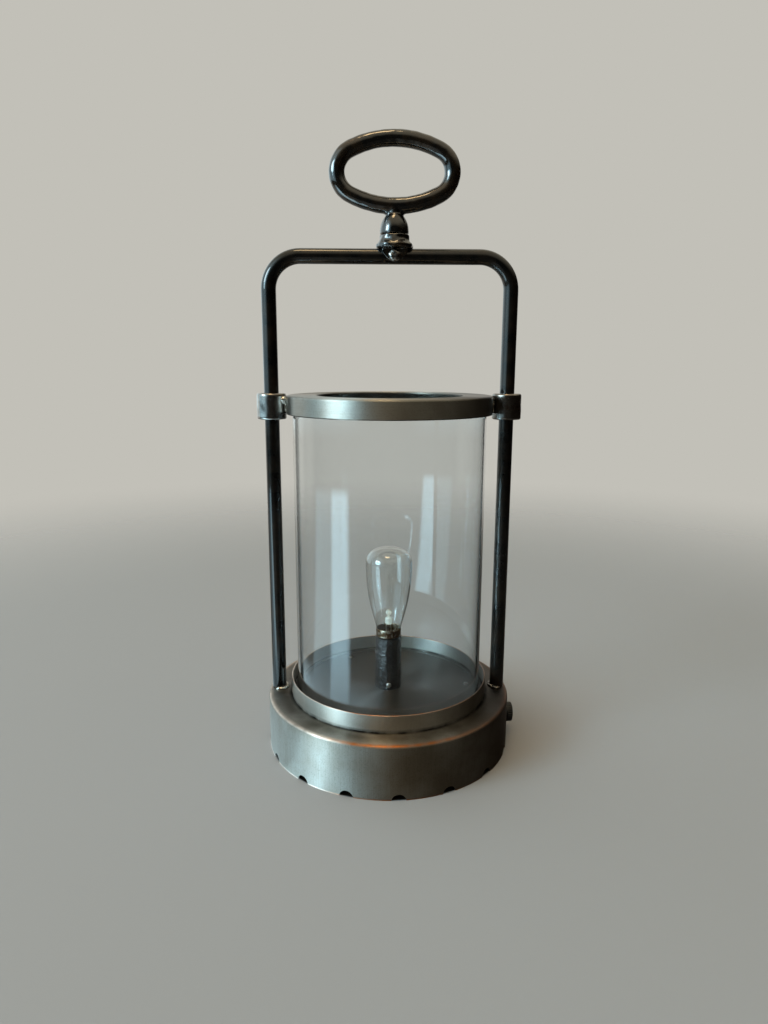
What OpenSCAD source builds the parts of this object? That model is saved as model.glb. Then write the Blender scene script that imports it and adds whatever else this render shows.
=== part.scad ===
// Carrying-lantern table lamp: a round vented base with a gallery pan, a loose glass chimney,
// a lift-off top ring that slides on a hoop frame, a swivelling ring handle and a clear bulb.
// Millimetres, +Z up, origin at the centre of the base's bottom edge, front towards -Y.

/* [Glass chimney] */
// Outer diameter of the glass cylinder
glass_d = 159; // [140:1:180]
// Height of the glass cylinder
glass_h = 253.4; // [220:0.2:300]
// Thickness of the glass
glass_wall = 2.2; // [1.6:0.1:3]

/* [Base drum] */
// Height of the base drum
drum_h = 45; // [44:0.5:60]
// Sheet thickness of the base drum
drum_wall = 1.2; // [0.8:0.1:1.6]
// Radius of the rounded top edge of the drum
drum_edge_r = 2; // [1.7:0.1:2.2]
// Flat margin of the drum outside each leg, with the rounded edge in it
leg_margin = 2.25; // [2.2:0.05:4]
// Number of half-round vents around the bottom edge
vent_count = 16; // [8:1:24]
// Width of one vent at the bottom edge
vent_w = 11.6; // [8:0.2:14]
// Height of one vent
vent_h = 5.1; // [3:0.1:5.5]
// Angle from the front to the middle of the first vent, in degrees
vent_start = 3; // [0:0.5:22]

/* [Gallery pan] */
// Height of the pan's rim above the drum
pan_h = 14.7; // [10:0.1:20]
// Sheet thickness of the pan
pan_wall = 1.2; // [0.8:0.1:1.6]
// Space between the glass and the pan's rim
pan_gap = 4.35; // [3:0.05:5]
// Distance from the inside of the glass in to the middle of each of the pan's rivets
pan_rivet_inset = 7.3; // [5:0.1:20]
// Number of rivets that hold the pan on the drum
pan_rivet_count = 3; // [3:1:6]

/* [Top ring] */
// Height of the ring's outer band
ring_h = 14.7; // [10:0.1:20]
// Sheet thickness of the ring
ring_wall = 1.2; // [0.8:0.1:1.6]
// Space between the glass and the ring's band
ring_gap = 3.4; // [1.5:0.1:4]
// Diameter of the opening in the top of the ring
ring_hole_d = 120; // [100:1:126]
// Diameter of the collars that slide on the legs
collar_d = 24; // [20:0.5:28]
// Height of the collars
collar_h = 21.2; // [14:0.1:30]
// Height by which the collars stand above the ring
collar_over = 1.6; // [0:0.1:4]
// Space between the ring's band and each collar, closed by a weld
collar_gap = 0.4; // [0.4:0.1:3]
// Sliding clearance between a collar and its leg, on the radius
slide_gap = 0.3; // [0.25:0.05:0.5]

/* [Hoop frame] */
// Diameter of the frame tube
tube_d = 12; // [10:0.5:14]
// Wall of the frame tube
tube_wall = 1.5; // [1:0.1:2]
// Radius of the two top bends, on the tube's centre line
bend_r = 25.5; // [20:0.5:40]
// Height of the crossbar's centre above the top ring
bar_rise = 107.8; // [100:0.2:140]

/* [Handle] */
// Width of the finger opening in the ring handle
loop_open_w = 77; // [70:0.5:90]
// Height of the finger opening in the ring handle
loop_open_h = 36; // [34:0.5:42]
// Diameter of the rod that the ring handle is bent from
loop_rod_d = 12.6; // [11:0.1:14]
// Radius of the rod's centre line at the two ends of the oval
loop_end_r = 18; // [16:0.5:20]
// Diameter of the turned bell under the ring handle
bell_d = 22.7; // [20:0.1:26]
// Height of the bell and neck, up to the rod's underside
bell_h = 15; // [13:0.1:20]
// Diameter of the neck between the bell and the ring handle
neck_d = 12; // [10.5:0.1:12]
// Diameter of the swivel stem under the bell
stem_d = 8; // [7:0.1:9]
// Diameter of the saddle boss's skirt
skirt_d = 29.3; // [27:0.1:34]
// Distance of the boss to the right of the crossbar's middle
boss_off = 3.2; // [0:0.1:6]
// Height of the boss above the crossbar
boss_h = 9.9; // [9:0.1:14]
// Width of the two lobes that hang over the crossbar
lobe_w = 20; // [18:0.5:24]
// Thickness of each lobe
lobe_t = 2.6; // [2:0.1:4]
// Reach of the lobes below the crossbar's centre
lobe_drop = 4; // [3.5:0.1:6]
// Diameter of the rivet through the lobes and the crossbar
boss_rivet_d = 4; // [3:0.1:5]
// Diameter of that rivet's domed heads
boss_rivet_head_d = 9.4; // [8:0.1:11]
// Running clearance of the swivel stem, on the radius
turn_gap = 0.05; // [0.03:0.01:0.1]

/* [Bulb] */
// Widest diameter of the bulb
bulb_d = 39.8; // [34:0.1:46]
// Height of the glass envelope above the socket's sleeve
bulb_h = 80; // [76:0.5:100]
// Diameter of the bulb's glass neck
bulb_neck_d = 21.2; // [18:0.1:21.6]
// Thickness of the bulb's glass
bulb_wall = 0.8; // [0.6:0.1:1.2]
// Diameter of the bulb's screw cap
cap_d = 13.6; // [12:0.1:14]
// Length of the screw cap inside the socket
cap_h = 19; // [16:0.5:22]
// Height of the cap's skirt around the neck
skirt_h = 7; // [4:0.1:8]

/* [Socket] */
// Outer diameter of the socket's sleeve
sleeve_d = 23.3; // [22.5:0.1:26]
// Wall of the sleeve
sleeve_wall = 1; // [0.8:0.1:1.1]
// Height of the sleeve
sleeve_h = 46.5; // [40:0.5:50]
// Outer diameter of the insulating socket shell
shell_d = 18.6; // [18.2:0.1:19]
// Wall of the insulating socket shell
shell_wall = 1.1; // [0.9:0.1:1.2]
// Diameter of the threaded lamp nipple
nipple_d = 10; // [9:0.1:11]
// Wall of the lamp nipple
nipple_wall = 1.2; // [1:0.1:1.4]
// Width across the flats of the nipple's nuts
nipple_nut_af = 14; // [13:0.5:15]
// Thickness of the nipple's nuts
nipple_nut_h = 3.5; // [2.5:0.1:4]

/* [Rotary switch] */
// Angle of the switch from the right side towards the back, in degrees
knob_angle = 0; // [0:1:20]
// Height of the knob's centre
knob_z = 19; // [19:0.5:25]
// Diameter of the knob
knob_d = 17; // [14:0.5:20]
// Distance from the drum to the knob's face
knob_reach = 7; // [7:0.1:9.4]
// Diameter of the switch shaft
shaft_d = 4; // [3:0.1:5]
// Diameter of the switch's threaded bushing
bushing_d = 7; // [6.4:0.1:8]
// Diameter of the switch's body
switch_d = 22; // [18:0.5:24]
// Depth of the switch's body
switch_h = 14; // [10:0.5:18]

/* [Battery bay] */
// Diameter of one cell
cell_d = 14.5; // [14:0.1:14.6]
// Length of one cell, with its button
cell_len = 50.5; // [48:0.1:50.5]
// Number of cells, side by side
cell_count = 3; // [2:1:3]
// Height of the bottom plate's underside
plate_z = 6; // [5.2:0.1:7]
// Sheet thickness of the bottom plate
plate_wall = 1.2; // [0.8:0.1:1.6]
// Diameter of the battery cover's hole in the bottom plate
cover_hole_d = 80; // [80:0.5:86]
// Wall of the battery tray
tray_wall = 1.6; // [1.2:0.1:2]
// Distance of the plate's screws from the middle
standoff_at = 80; // [60:1:84]
// Number of plate screws and standoffs
standoff_count = 3; // [3:1:4]
// Diameter of the standoffs
standoff_d = 8; // [7:0.5:10]
// Diameter of the plate's screws
screw_d = 4; // [3:0.1:4.5]

/* [Hidden] */
$fn = 64;

// Clearances: fixed pieces that fit one in the other, and pieces that move past each other.
fit_gap = 0.05;
move_gap = 0.3;
cut = 1;

// Radii, from the glass outwards: ring, collars, legs, drum.
glass_r = glass_d / 2;
ring_r = glass_r + ring_gap + ring_wall;
pan_r = glass_r + pan_gap + pan_wall;
tube_r = tube_d / 2;
leg_x = ring_r + collar_gap + collar_d / 2;
drum_r = leg_x + tube_r + leg_margin;
drum_in_r = drum_r - drum_wall;
drum_edge_in_r = drum_edge_r - drum_wall;

// Heights, from the table up.
ceiling_z = drum_h - drum_wall;
floor_z = drum_h + pan_wall;
ring_top_z = floor_z + glass_h + ring_wall;
bar_z = ring_top_z + bar_rise;
bar_top_z = bar_z + tube_r;
bend_x = leg_x - bend_r;
bend_z = bar_z - bend_r;

// Vents: a circle through the vent's width and height.
vent_r = (vent_w * vent_w / 4 + vent_h * vent_h) / (2 * vent_h);
front_angle = -90;

// Rivets of the pan, on a circle inside the glass.
pan_rivet_at = glass_r - glass_wall - pan_rivet_inset;
pan_rivet_d = 3;
pan_rivet_head_d = 5.2;
pan_rivet_head_h = 1;

// Welds at the feet and between collars and ring.
weld_size = 1.8;
weld_arc = 110;
collar_weld_w = 9;
collar_weld_h = 14;
collar_weld_drop = 0.4;

// Saddle boss and swivel.
boss_top_z = bar_top_z + boss_h;
boss_top_d = bell_d + 0.6;
boss_edge = 0.6;
skirt_low_z = bar_top_z - 0.6;
skirt_edge = 1.2;
skirt_edge_h = 2;
clip_d = 12;
clip_h = 0.8;
clip_groove_d = 6.4;
clip_pocket_d = 14.6;
stem_low_z = bar_top_z + 0.5;
clip_z = stem_low_z + 0.9;
clip_pocket_z = clip_z + clip_h + move_gap;
boss_rivet_head_h = 2.4;

// Handle: an oval of four arcs, with its centre line's half sizes.
rod_r = loop_rod_d / 2;
loop_a = loop_open_w / 2 + rod_r;
loop_b = loop_open_h / 2 + rod_r;
bell_low_z = boss_top_z + move_gap;
rod_low_z = bell_low_z + bell_h;
loop_z = rod_low_z + rod_r + loop_b;
loop_end_x = loop_a - loop_end_r;
loop_side_c = (loop_end_x * loop_end_x - pow(loop_b - loop_end_r, 2)) / (2 * (loop_b - loop_end_r));
loop_side_r = loop_b + loop_side_c;
loop_split = atan2(loop_side_c, loop_end_x);
joint_trim = 0.3;
joint_swell = 0.05;
bell_band_h = 2.2;

// Socket, from the pan's floor up.
nipple_hole_gap = 0.2;
nipple_in_d = nipple_d - 2 * nipple_wall;
bracket_t = 1.2;
bracket_r = sleeve_d / 2 - sleeve_wall - 0.2;
bracket_rim_t = 0.9;
bracket_rim_h = 9;
bracket_ear_w = 5;
bracket_ear_h = 22;
washer_h = 1;
washer_d = nipple_nut_af + 6;
nipple_spare = 1.2;
nipple_low_z = ceiling_z - washer_h - nipple_nut_h - nipple_spare;
nipple_top_z = floor_z + bracket_t + nipple_nut_h + nipple_spare;
sleeve_top_z = floor_z + sleeve_h;
shell_top_z = sleeve_top_z - 0.5;
shell_low_z = nipple_top_z + 8;
shell_floor_z = shell_low_z + 4;
contact_t = 0.5;
contact_d = 9;
contact_rise = 2;
screw_shell_t = 0.5;
sleeve_screw_z = floor_z + 4.5;
sleeve_screw_d = 2.4;
sleeve_screw_head_d = 4.6;
sleeve_screw_head_h = 1.3;

// Bulb, from its shoulder on the socket up and down.
shoulder_z = sleeve_top_z + 0.5;
cap_wall = 0.4;
cap_skirt_r = bulb_neck_d / 2 + fit_gap + cap_wall;
cap_low_z = shoulder_z - cap_h;
insulator_h = 2.2;
tip_d = 5.4;
tip_h = 1.1;
tip_low_z = cap_low_z - insulator_h - tip_h;
neck_low_z = shoulder_z + cap_wall;
skirt_high_z = shoulder_z + skirt_h;
bulb_top_z = sleeve_top_z + bulb_h;
crown_r = 29;
shoulder_r = 12;
lead_spacing = 3.8;
lead_d = 0.6;
bead_d = 6.6;
bead_h = 6.5;
bead_z = neck_low_z + 9.5;
lamp_d = 5.2;
lamp_neck_d = 2.2;
lamp_rise = 1.6;

// Switch, measured outwards from the drum's wall.
switch_front = drum_r - sqrt(pow(drum_in_r, 2) - pow(switch_d / 2, 2)) + fit_gap;
switch_nut_af = bushing_d + 3;
switch_nut_h = 1.8;
bushing_out = switch_nut_h + 0.5;
knob_gap = 0.6;
knob_recess_d = switch_nut_af / cos(30) + 1.2;
knob_recess_out = bushing_out + move_gap;
knob_face = 1.6;
shaft_in = switch_front + 6;
terminal_w = 3;
terminal_t = 1;
terminal_len = 5;
terminal_y = 4;
terminal_x = drum_r - switch_front - switch_h - terminal_len;

// Battery bay, from the bottom plate up.
plate_top_z = plate_z + plate_wall;
plate_r = drum_in_r - 0.4;
cover_r = cover_hole_d / 2 - 0.4;
cover_lip = 3;
cover_lip_r = cover_hole_d / 2 + cover_lip;
cover_lip_h = 1.4;
tab_count = 3;
tab_span = 18;
tab_in = 4;
tab_h = 1.2;
tab_low_z = plate_top_z + move_gap;
tab_top_z = tab_low_z + tab_h;
notch_turn = 30;
coin_slot_l = 24;
coin_slot_w = 3;
coin_slot_h = 0.8;
tray_in_r = cover_lip_r + 2;
tray_r = tray_in_r + tray_wall;
pocket_low_z = tab_top_z + move_gap;
cell_pitch = cell_d + 0.3;
cell_low_z = tab_low_z + move_gap;
cell_z = cell_low_z + cell_d / 2;
cell_button_d = 5.5;
cell_button_h = 1.3;
spring_l = 5;
spring_r = 5;
spring_taper = 0.45;
spring_wire_d = 1;
spring_turns = 5;
strip_t = 0.5;
strip_w = 10;
pocket_w = cell_count * cell_pitch + 0.6;
pocket_l = cell_len + spring_l + 2 * strip_t;
cell_back_y = -pocket_l / 2 + strip_t;
pocket_top_z = cell_low_z + cell_d + move_gap;
tray_top_z = pocket_top_z + tray_wall;
standoff_start = 90;
screw_head_d = 7.4;
screw_head_h = 2.2;
screw_reach = 12;

// Wires, as points that a straight run joins.
wire_d = 1.6;
wire_x = 1.6;
feed_z = tray_top_z + 5;
return_z = tray_top_z + 6;
link_z = nipple_low_z - 2;
feed_x = tray_in_r - 8;
feed_drop_x = terminal_x - 10;
link_drop_x = terminal_x - 7;
return_x = -18;

// Points of an arc around (cx, cy), from angle a to angle b in n steps.
function arc(cx, cy, r, a, b, n) = [
    for (i = [0:n]) [cx + r * cos(a + (b - a) * i / n), cy + r * sin(a + (b - a) * i / n)]
];

module tube(r_out, r_in, h) {
    difference() {
        cylinder(r = r_out, h = h);
        translate([0, 0, -cut]) cylinder(r = r_in, h = h + 2 * cut);
    }
}

module around(count, radius, start) {
    for (i = [0:count - 1]) rotate(start + i * 360 / count) translate([radius, 0, 0]) children();
}

// A domed head that stands on z = 0.
module dome(d, h) {
    r = (d * d / 4 + h * h) / (2 * h);
    intersection() {
        translate([0, 0, h - r]) sphere(r = r);
        cylinder(d = d + cut, h = h + cut);
    }
}

module hex_nut(af, h, bore_d) {
    difference() {
        cylinder(d = af / cos(30), h = h, $fn = 6);
        translate([0, 0, -cut]) cylinder(d = bore_d, h = h + 2 * cut);
    }
}

// A round wire through a list of points, with a ball in each corner.
module wire(points, d) {
    for (i = [0:len(points) - 2]) {
        step = points[i + 1] - points[i];
        run = norm(step);
        translate(points[i])
            rotate([0, acos(step[2] / run), atan2(step[1], step[0])]) cylinder(d = d, h = run);
    }
    for (i = [1:1:len(points) - 2]) translate(points[i]) sphere(d = d + 0.1);
}

// ---- Base ----

module drum_profile() {
    polygon(concat(
        [[0, drum_h]],
        arc(drum_r - drum_edge_r, drum_h - drum_edge_r, drum_edge_r, 90, 0, 6),
        [[drum_r, 0], [drum_in_r, 0]],
        arc(drum_r - drum_edge_r, drum_h - drum_edge_r, drum_edge_in_r, 0, 90, 4),
        [[0, ceiling_z]]
    ));
}

module vents() {
    around(vent_count, drum_in_r - 2, front_angle + vent_start)
        translate([0, 0, vent_h - vent_r]) rotate([0, 90, 0]) cylinder(r = vent_r, h = drum_wall + 4);
}

// Places its children on the switch's axis, with z = 0 on the outside of the drum's wall.
module at_switch() {
    rotate(knob_angle) translate([drum_r, 0, knob_z]) rotate([0, 90, 0]) children();
}

module base_drum() {
    color("#4f4a3e") difference() {
        rotate_extrude() drum_profile();
        vents();
        translate([0, 0, ceiling_z - cut]) {
            cylinder(d = nipple_d + 2 * nipple_hole_gap, h = drum_wall + 2 * cut);
            around(pan_rivet_count, pan_rivet_at, 0)
                cylinder(d = pan_rivet_d + 2 * fit_gap, h = drum_wall + 2 * cut);
        }
        at_switch() translate([0, 0, -drum_wall - 3]) cylinder(d = bushing_d + 2 * fit_gap, h = drum_wall + 6);
    }
}

module gallery_pan() {
    rim_r = pan_wall / 2;
    color("#5a5245") difference() {
        union() {
            translate([0, 0, drum_h]) cylinder(r = pan_r, h = pan_wall);
            translate([0, 0, drum_h]) tube(pan_r, pan_r - pan_wall, pan_h - rim_r);
            translate([0, 0, drum_h + pan_h - rim_r])
                rotate_extrude() translate([pan_r - rim_r, 0]) circle(r = rim_r, $fn = 24);
        }
        translate([0, 0, drum_h - cut]) {
            cylinder(d = nipple_d + 2 * nipple_hole_gap, h = pan_wall + 2 * cut);
            around(pan_rivet_count, pan_rivet_at, 0)
                cylinder(d = pan_rivet_d + 2 * fit_gap, h = pan_wall + 2 * cut);
        }
    }
}

module pan_rivets() {
    color("#3b352c") around(pan_rivet_count, pan_rivet_at, 0) {
        translate([0, 0, floor_z]) dome(pan_rivet_head_d, pan_rivet_head_h);
        translate([0, 0, ceiling_z - pan_rivet_head_h])
            cylinder(d = pan_rivet_d, h = drum_wall + pan_wall + pan_rivet_head_h + pan_rivet_head_h / 2);
        translate([0, 0, ceiling_z - pan_rivet_head_h]) cylinder(d = pan_rivet_head_d, h = pan_rivet_head_h);
    }
}

// ---- Hoop frame ----

module tube_section() {
    difference() {
        circle(r = tube_r);
        circle(r = tube_r - tube_wall);
    }
}

module frame_tube() {
    color("#1d1a18") difference() {
        union() {
            for (side = [-1, 1]) {
                translate([side * leg_x, 0, drum_h]) linear_extrude(bend_z - drum_h) tube_section();
                translate([side * bend_x, 0, bend_z]) rotate([90, 0, 0])
                    rotate([0, 0, side > 0 ? 0 : 90])
                        rotate_extrude(angle = 90) translate([bend_r, 0]) tube_section();
            }
            translate([-bend_x, 0, bar_z]) rotate([0, 90, 0]) linear_extrude(2 * bend_x) tube_section();
        }
        translate([boss_off, tube_r + cut, bar_z]) rotate([90, 0, 0])
            cylinder(d = boss_rivet_d + 2 * fit_gap, h = tube_d + 2 * cut);
    }
}

// Weld beads around each foot, left open on the outside where the drum's edge falls away.
module foot_welds() {
    color("#8d8a84") for (side = [-1, 1]) translate([side * leg_x, 0, drum_h])
        rotate(side > 0 ? 180 - weld_arc : -weld_arc)
            rotate_extrude(angle = 2 * weld_arc)
                polygon([[tube_r, 0], [tube_r + weld_size, 0], [tube_r, weld_size]]);
}

// Half outline of the boss: a rounded skirt that sweeps in to the top in one hollow curve.
module boss_profile() {
    skirt_r = skirt_d / 2;
    top_r = boss_top_d / 2;
    sweep_low_z = skirt_low_z + skirt_edge + skirt_edge_h;
    sweep_h = boss_top_z - boss_edge - sweep_low_z;
    sweep_r = (pow(skirt_r - top_r, 2) + sweep_h * sweep_h) / (2 * (skirt_r - top_r));
    polygon(concat(
        [[0, skirt_low_z], [skirt_r - skirt_edge, skirt_low_z], [skirt_r, skirt_low_z + skirt_edge]],
        arc(top_r + sweep_r, boss_top_z - boss_edge, sweep_r, 180 + asin(sweep_h / sweep_r), 180, 6),
        [[top_r - boss_edge, boss_top_z], [0, boss_top_z]]
    ));
}

module lobe_shape() {
    lobe_r = lobe_w / 2;
    depth = tube_d + 2 * lobe_t;
    intersection() {
        translate([0, depth / 2, bar_z - lobe_drop + lobe_r]) rotate([90, 0, 0]) cylinder(r = lobe_r, h = depth);
        translate([-lobe_r - cut, -depth / 2 - cut, bar_z - lobe_drop - cut])
            cube([lobe_w + 2 * cut, depth + 2 * cut, lobe_drop + 6 + cut]);
    }
}

module handle_boss() {
    seat_r = tube_r + fit_gap;
    color("#211d1a") translate([boss_off, 0, 0]) difference() {
        union() {
            rotate_extrude() boss_profile();
            lobe_shape();
        }
        translate([-skirt_d, 0, bar_z]) rotate([0, 90, 0]) cylinder(r = seat_r, h = 2 * skirt_d);
        translate([-skirt_d, -seat_r, bar_z - lobe_drop - 2 * cut])
            cube([2 * skirt_d, 2 * seat_r, lobe_drop + 2 * cut]);
        translate([0, 0, skirt_low_z - cut]) cylinder(d = clip_pocket_d, h = clip_pocket_z - skirt_low_z + cut);
        translate([0, 0, bar_z]) cylinder(d = stem_d + 2 * turn_gap, h = boss_top_z - bar_z + cut);
        translate([0, tube_r + lobe_t + cut, bar_z]) rotate([90, 0, 0])
            cylinder(d = boss_rivet_d + 2 * fit_gap, h = tube_d + 2 * lobe_t + 2 * cut);
    }
}

module boss_rivet() {
    face_y = tube_r + lobe_t;
    color("#2c2723") translate([boss_off, 0, bar_z]) {
        translate([0, face_y + 0.5, 0]) rotate([90, 0, 0]) cylinder(d = boss_rivet_d, h = 2 * face_y + 1);
        for (turn = [90, -90]) rotate([turn, 0, 0]) translate([0, 0, face_y])
            dome(boss_rivet_head_d, boss_rivet_head_h);
    }
}

// ---- Ring handle ----

// A stretch of the bent rod: an arc about (x, z), half_span degrees to each side of its middle.
module rod_arc(x, z, radius, middle, half_span) {
    translate([x, 0, z]) rotate([90, 0, 0]) rotate([0, 0, middle - half_span])
        rotate_extrude(angle = 2 * half_span) translate([radius, 0]) circle(r = rod_r, $fn = 48);
}

// The oval: two tight end arcs and two wide side arcs, with a ball a hair thicker than the rod at each joint.
module oval_loop() {
    joint_x = loop_end_x + loop_end_r * cos(loop_split);
    joint_z = loop_end_r * sin(loop_split);
    for (side = [-1, 1]) {
        rod_arc(side * loop_end_x, loop_z, loop_end_r, side > 0 ? 0 : 180, loop_split);
        rod_arc(0, loop_z - side * loop_side_c, loop_side_r, side * 90, 90 - loop_split - joint_trim);
        for (up = [-1, 1]) translate([side * joint_x, 0, loop_z + up * joint_z]) sphere(r = rod_r + joint_swell);
    }
}

// Half outline of the bell: a short upright band, then one full curve in to the neck.
module bell_profile() {
    bell_r = bell_d / 2;
    neck_r = neck_d / 2;
    band_z = bell_low_z + bell_band_h;
    curve_h = rod_low_z - band_z;
    curve_r = (pow(bell_r - neck_r, 2) + curve_h * curve_h) / (2 * (bell_r - neck_r));
    polygon(concat(
        [[0, bell_low_z], [bell_r - boss_edge, bell_low_z], [bell_r, bell_low_z + boss_edge]],
        arc(bell_r - curve_r, band_z, curve_r, 0, asin(curve_h / curve_r), 8),
        [[neck_r, rod_low_z + rod_r], [0, rod_low_z + rod_r]]
    ));
}

module ring_handle() {
    color("#1a1715") translate([boss_off, 0, 0]) difference() {
        union() {
            oval_loop();
            rotate_extrude() bell_profile();
            translate([0, 0, stem_low_z]) cylinder(d = stem_d, h = bell_low_z + cut - stem_low_z);
        }
        translate([0, 0, clip_z]) tube(stem_d / 2 + cut, clip_groove_d / 2, clip_h);
    }
}

module handle_clip() {
    color("#8f8f8f") translate([boss_off, 0, clip_z + fit_gap])
        tube(clip_d / 2, clip_groove_d / 2 + fit_gap, clip_h - 2 * fit_gap);
}

// ---- Top ring ----

module ring_band() {
    edge_r = 1.6;
    low_z = ring_top_z - ring_h;
    color("#6b6153") rotate_extrude() polygon(concat(
        [[ring_hole_d / 2, ring_top_z]],
        arc(ring_r - edge_r, ring_top_z - edge_r, edge_r, 90, 0, 5),
        [[ring_r, low_z], [ring_r - ring_wall, low_z]],
        arc(ring_r - edge_r, ring_top_z - edge_r, edge_r - ring_wall, 0, 90, 3),
        [[ring_hole_d / 2, ring_top_z - ring_wall]]
    ));
}

module collar(side) {
    color("#1f1b19") translate([side * leg_x, 0, ring_top_z + collar_over - collar_h])
        tube(collar_d / 2, tube_r + slide_gap, collar_h);
}

module collar_left() collar(-1);

module collar_right() collar(1);

// The weld that joins each collar to the ring's band, fitted to both curved faces.
module collar_welds() {
    color("#9a958c") for (side = [-1, 1]) difference() {
        translate([side > 0 ? ring_r - 1 : -ring_r - collar_gap - 2, -collar_weld_w / 2,
                   ring_top_z - collar_weld_drop - collar_weld_h])
            cube([collar_gap + 3, collar_weld_w, collar_weld_h]);
        translate([0, 0, ring_top_z - ring_h - cut]) cylinder(r = ring_r, h = ring_h + 2 * cut, $fn = 360);
        translate([side * leg_x, 0, ring_top_z + collar_over - collar_h - cut])
            cylinder(r = collar_d / 2, h = collar_h + 2 * cut, $fn = 180);
    }
}

module glass_chimney() {
    color("#cfe3e0", 0.35) translate([0, 0, floor_z]) tube(glass_r, glass_r - glass_wall, glass_h);
}

// ---- Socket ----

module lamp_nipple() {
    color("#b08d4a") translate([0, 0, nipple_low_z])
        tube(nipple_d / 2, nipple_in_d / 2, nipple_top_z - nipple_low_z);
}

module nipple_washer() {
    color("#9c9c98") translate([0, 0, ceiling_z - washer_h]) tube(washer_d / 2, nipple_d / 2 + fit_gap, washer_h);
}

module nipple_nuts() {
    color("#b08d4a") for (z = [ceiling_z - washer_h - nipple_nut_h, floor_z + bracket_t])
        translate([0, 0, z]) hex_nut(nipple_nut_af, nipple_nut_h, nipple_d + 2 * fit_gap);
}

module socket_bracket() {
    rim_in_r = bracket_r - bracket_rim_t;
    color("#a9a9a4") difference() {
        translate([0, 0, floor_z]) {
            cylinder(r = bracket_r, h = bracket_t);
            tube(bracket_r, rim_in_r, bracket_rim_h);
            intersection() {
                tube(bracket_r, rim_in_r, bracket_ear_h);
                translate([-bracket_r - cut, -bracket_ear_w / 2, 0])
                    cube([2 * bracket_r + 2 * cut, bracket_ear_w, bracket_ear_h]);
            }
        }
        translate([0, 0, floor_z - cut])
            cylinder(d = nipple_d + 2 * nipple_hole_gap, h = bracket_t + 2 * cut);
        translate([0, 0, sleeve_screw_z]) rotate([90, 0, 0])
            cylinder(d = sleeve_screw_d + 2 * fit_gap, h = sleeve_d);
    }
}

module socket_shell() {
    color("#141414") translate([0, 0, shell_low_z]) difference() {
        cylinder(d = shell_d, h = shell_top_z - shell_low_z);
        translate([0, 0, shell_floor_z - shell_low_z])
            cylinder(d = shell_d - 2 * shell_wall, h = shell_top_z - shell_floor_z + cut);
    }
}

module socket_screw_shell() {
    out_r = shell_d / 2 - shell_wall - fit_gap;
    color("#c9a349") translate([0, 0, shell_floor_z])
        tube(out_r, out_r - screw_shell_t, shell_top_z - shell_floor_z - 2);
}

module socket_contact() {
    color("#c9a349") translate([0, 0, shell_floor_z]) {
        cylinder(d = contact_d, h = contact_t);
        cylinder(d = tip_d, h = tip_low_z - shell_floor_z);
    }
}

module socket_sleeve() {
    color("#0e0e10") difference() {
        translate([0, 0, floor_z]) tube(sleeve_d / 2, sleeve_d / 2 - sleeve_wall, sleeve_h);
        translate([0, 0, sleeve_screw_z]) rotate([90, 0, 0])
            cylinder(d = sleeve_screw_d + 2 * fit_gap, h = sleeve_d);
    }
}

module sleeve_screw() {
    tip_y = bracket_r - bracket_rim_t;
    color("#c8c8c4") translate([0, 0, sleeve_screw_z]) rotate([90, 0, 0]) {
        translate([0, 0, tip_y]) cylinder(d = sleeve_screw_d, h = sleeve_d / 2 + 0.5 - tip_y);
        translate([0, 0, sleeve_d / 2]) dome(sleeve_screw_head_d, sleeve_screw_head_h);
    }
}

// ---- Bulb ----

// Radius of the glass below its widest place, for a share t of the way up from the neck.
function bulb_side(t) = bulb_neck_d / 2 + (bulb_d - bulb_neck_d) / 2 * (1 - cos(180 * pow(t, 0.57))) / 2;

// Outline of the glass, drawn in by inset: neck, swelling side, shoulder arc and flatter crown.
function bulb_outline(inset) =
    let (
        wide_r = bulb_d / 2,
        crown_c = bulb_top_z - crown_r,
        shoulder_x = wide_r - shoulder_r,
        reach = crown_r - shoulder_r,
        wide_z = crown_c + sqrt(reach * reach - shoulder_x * shoulder_x),
        meet = acos(shoulder_x / reach)
    )
    concat(
        [[0, neck_low_z + inset], [bulb_neck_d / 2 - inset, neck_low_z + inset]],
        [for (i = [0:12]) [bulb_side(i / 12) - inset, skirt_high_z + (wide_z - skirt_high_z) * i / 12]],
        arc(shoulder_x, wide_z, shoulder_r - inset, meet / 5, meet, 4),
        arc(0, crown_c, crown_r - inset, meet + (90 - meet) / 4, 90, 3)
    );

module bulb_envelope() {
    color("#dfe9e8", 0.3) rotate_extrude() difference() {
        polygon(bulb_outline(0));
        polygon(bulb_outline(bulb_wall));
    }
}

module bulb_screw_cap() {
    color("#b58f4e") difference() {
        union() {
            translate([0, 0, cap_low_z]) cylinder(d = cap_d, h = cap_h);
            translate([0, 0, shoulder_z]) cylinder(r = cap_skirt_r, h = skirt_h);
        }
        translate([0, 0, neck_low_z]) cylinder(r = bulb_neck_d / 2 + fit_gap, h = skirt_h);
        translate([0, 0, cap_low_z - cut]) cylinder(d = cap_d - 2 * cap_wall, h = cap_h + cap_wall + 2 * cut);
    }
}

module bulb_insulator() {
    low_r = tip_d / 2 + 0.4;
    color("#1b1b1f") translate([0, 0, cap_low_z - insulator_h])
        cylinder(r1 = low_r, r2 = cap_d / 2, h = insulator_h);
}

module bulb_tip() {
    color("#b9b9b4") translate([0, 0, tip_low_z]) cylinder(d = tip_d, h = tip_h);
}

module bulb_lead_wires() {
    low_z = neck_low_z + bulb_wall;
    color("#c4b28a") for (side = [-1, 1]) translate([side * lead_spacing / 2, 0, low_z])
        cylinder(d = lead_d, h = bead_z - low_z, $fn = 24);
}

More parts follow.
